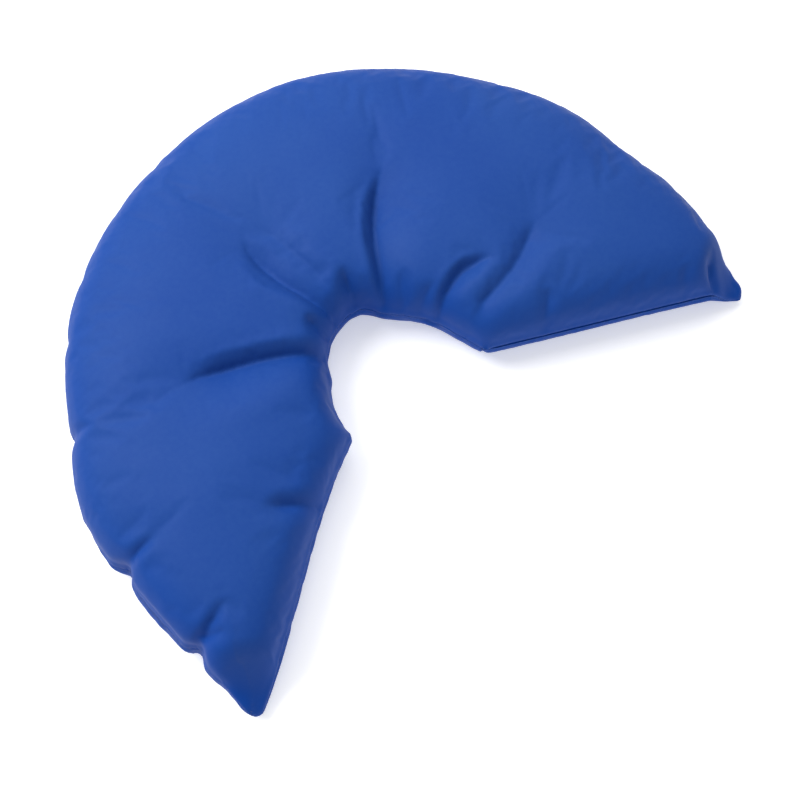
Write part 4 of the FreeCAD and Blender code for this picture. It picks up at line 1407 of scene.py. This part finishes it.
@dataclass
class Studio:
    """A white floor, two soft lights and the camera."""

    elevation: float = 72.0
    heading: float = -41.2
    distance: float = 1.333
    lens: float = 50.0
    aim: tuple[float, float] = (-0.0245, -0.1218)
    floor_size: float = 12.0
    floor_glow: float = 0.42
    sky: float = 0.5
    lamps: tuple[tuple[str, tuple[float, float, float], float, float], ...] = (
        ("key", (-1.5, 0.5, 2.0), 1.5, 46.0), ("fill", (0.0, 1.4, 2.1), 2.2, 24.0))

    def build(self) -> None:
        """Makes the floor, the lights and the camera."""
        self.make_floor()
        self.make_lights()
        self.make_camera()

    def direction(self, across: float, away: float, up: float) -> Vector:
        """A direction from the camera's own right, away and up, level with the floor."""
        turn = math.radians(self.heading)
        right = Vector((math.cos(turn), math.sin(turn), 0.0))
        ahead = Vector((-math.sin(turn), math.cos(turn), 0.0))
        return right * across + ahead * away + Vector((0.0, 0.0, up))

    def make_floor(self) -> None:
        """Makes the plain white floor."""
        half = self.floor_size / 2
        corners = np.array([[-half, -half, 0], [half, -half, 0], [half, half, 0], [-half, half, 0]])
        floor = new_piece("floor", corners, [[0, 1, 2, 3]], smooth=False)
        material = bpy.data.materials.new("white_floor")
        material.use_nodes = True
        shader = material.node_tree.nodes["Principled BSDF"]
        shader.inputs["Base Color"].default_value = (0.93, 0.93, 0.93, 1.0)
        shader.inputs["Emission Color"].default_value = (1.0, 1.0, 1.0, 1.0)
        shader.inputs["Emission Strength"].default_value = self.floor_glow
        shader.inputs["Roughness"].default_value = 0.8
        floor.data.materials.append(material)

    def make_lights(self) -> None:
        """Lights the cushion softly from the left, and fills from behind and all round."""
        bpy.context.scene.view_settings.view_transform = "Standard"
        world = bpy.data.worlds.new("studio")
        bpy.context.scene.world = world
        world.use_nodes = True
        world.node_tree.nodes["Background"].inputs["Color"].default_value = (0.97, 0.98, 1.0, 1.0)
        world.node_tree.nodes["Background"].inputs["Strength"].default_value = self.sky
        for name, where, size, power in self.lamps:
            lamp = bpy.data.lights.new(name, "AREA")
            lamp.shape = "DISK"
            lamp.size = size
            lamp.energy = power
            lamp_object = bpy.data.objects.new(name, lamp)
            lamp_object.location = self.direction(*where)
            lamp_object.rotation_euler = (-lamp_object.location).to_track_quat("-Z", "Y").to_euler()
            bpy.context.scene.collection.objects.link(lamp_object)

    def make_camera(self) -> None:
        """Aims the camera down at the cushion."""
        rise = math.radians(self.elevation)
        back = self.direction(0.0, -math.cos(rise), math.sin(rise))
        data = bpy.data.cameras.new("camera")
        data.lens = self.lens
        camera = bpy.data.objects.new("camera", data)
        camera.location = Vector((*self.aim, 0.0)) + back * self.distance
        camera.rotation_euler = (-back).to_track_quat("-Z", "Y").to_euler()
        bpy.context.scene.collection.objects.link(camera)
        bpy.context.scene.camera = camera


def main() -> None:
    """Builds the cushion and its surroundings, piece by piece."""
    logging.basicConfig(level=logging.INFO, format="%(message)s")
    outline = Outline(ZipLine())
    stuffing = PaddedCrescent(outline)
    stuffing.build()
    cover = Cover(stuffing)
    blue = CoatedCloth().material()
    cover_thread = TwistedThread("cover_thread_blue", (0.02, 0.065, 0.26), (0.008, 0.03, 0.15)).material()
    cotton = WovenCloth("liner_cotton_white", (0.80, 0.79, 0.76), (0.62, 0.61, 0.58), 0.7 * MM).material()
    tape = WovenCloth("zip_tape_blue", (0.012, 0.05, 0.22), (0.006, 0.025, 0.13), 0.6 * MM, 0.7).material()
    overlock = TwistedThread("overlock_white", (0.85, 0.84, 0.82), (0.6, 0.6, 0.58)).material()
    shells = {}
    for side in Side:
        panel, shells[side] = cover.build_panel(side)
        panel.data.materials.append(blue)
        declare(panel, "cover_cloth", f"cover_{side.name.lower()}_panel")
    CoverStitching(cover).build(cover_thread)
    ConcealedZip(outline.zip_line).build(MouldedNylon().material(), cover_thread, tape,
                                         PlatedZinc().material())
    InnerBag(stuffing, shells[Side.TOP], shells[Side.BOTTOM]).build(cotton, overlock,
                                                                    FoamBeads().material())
    Studio().build()


if __name__ == "__main__":
    main()
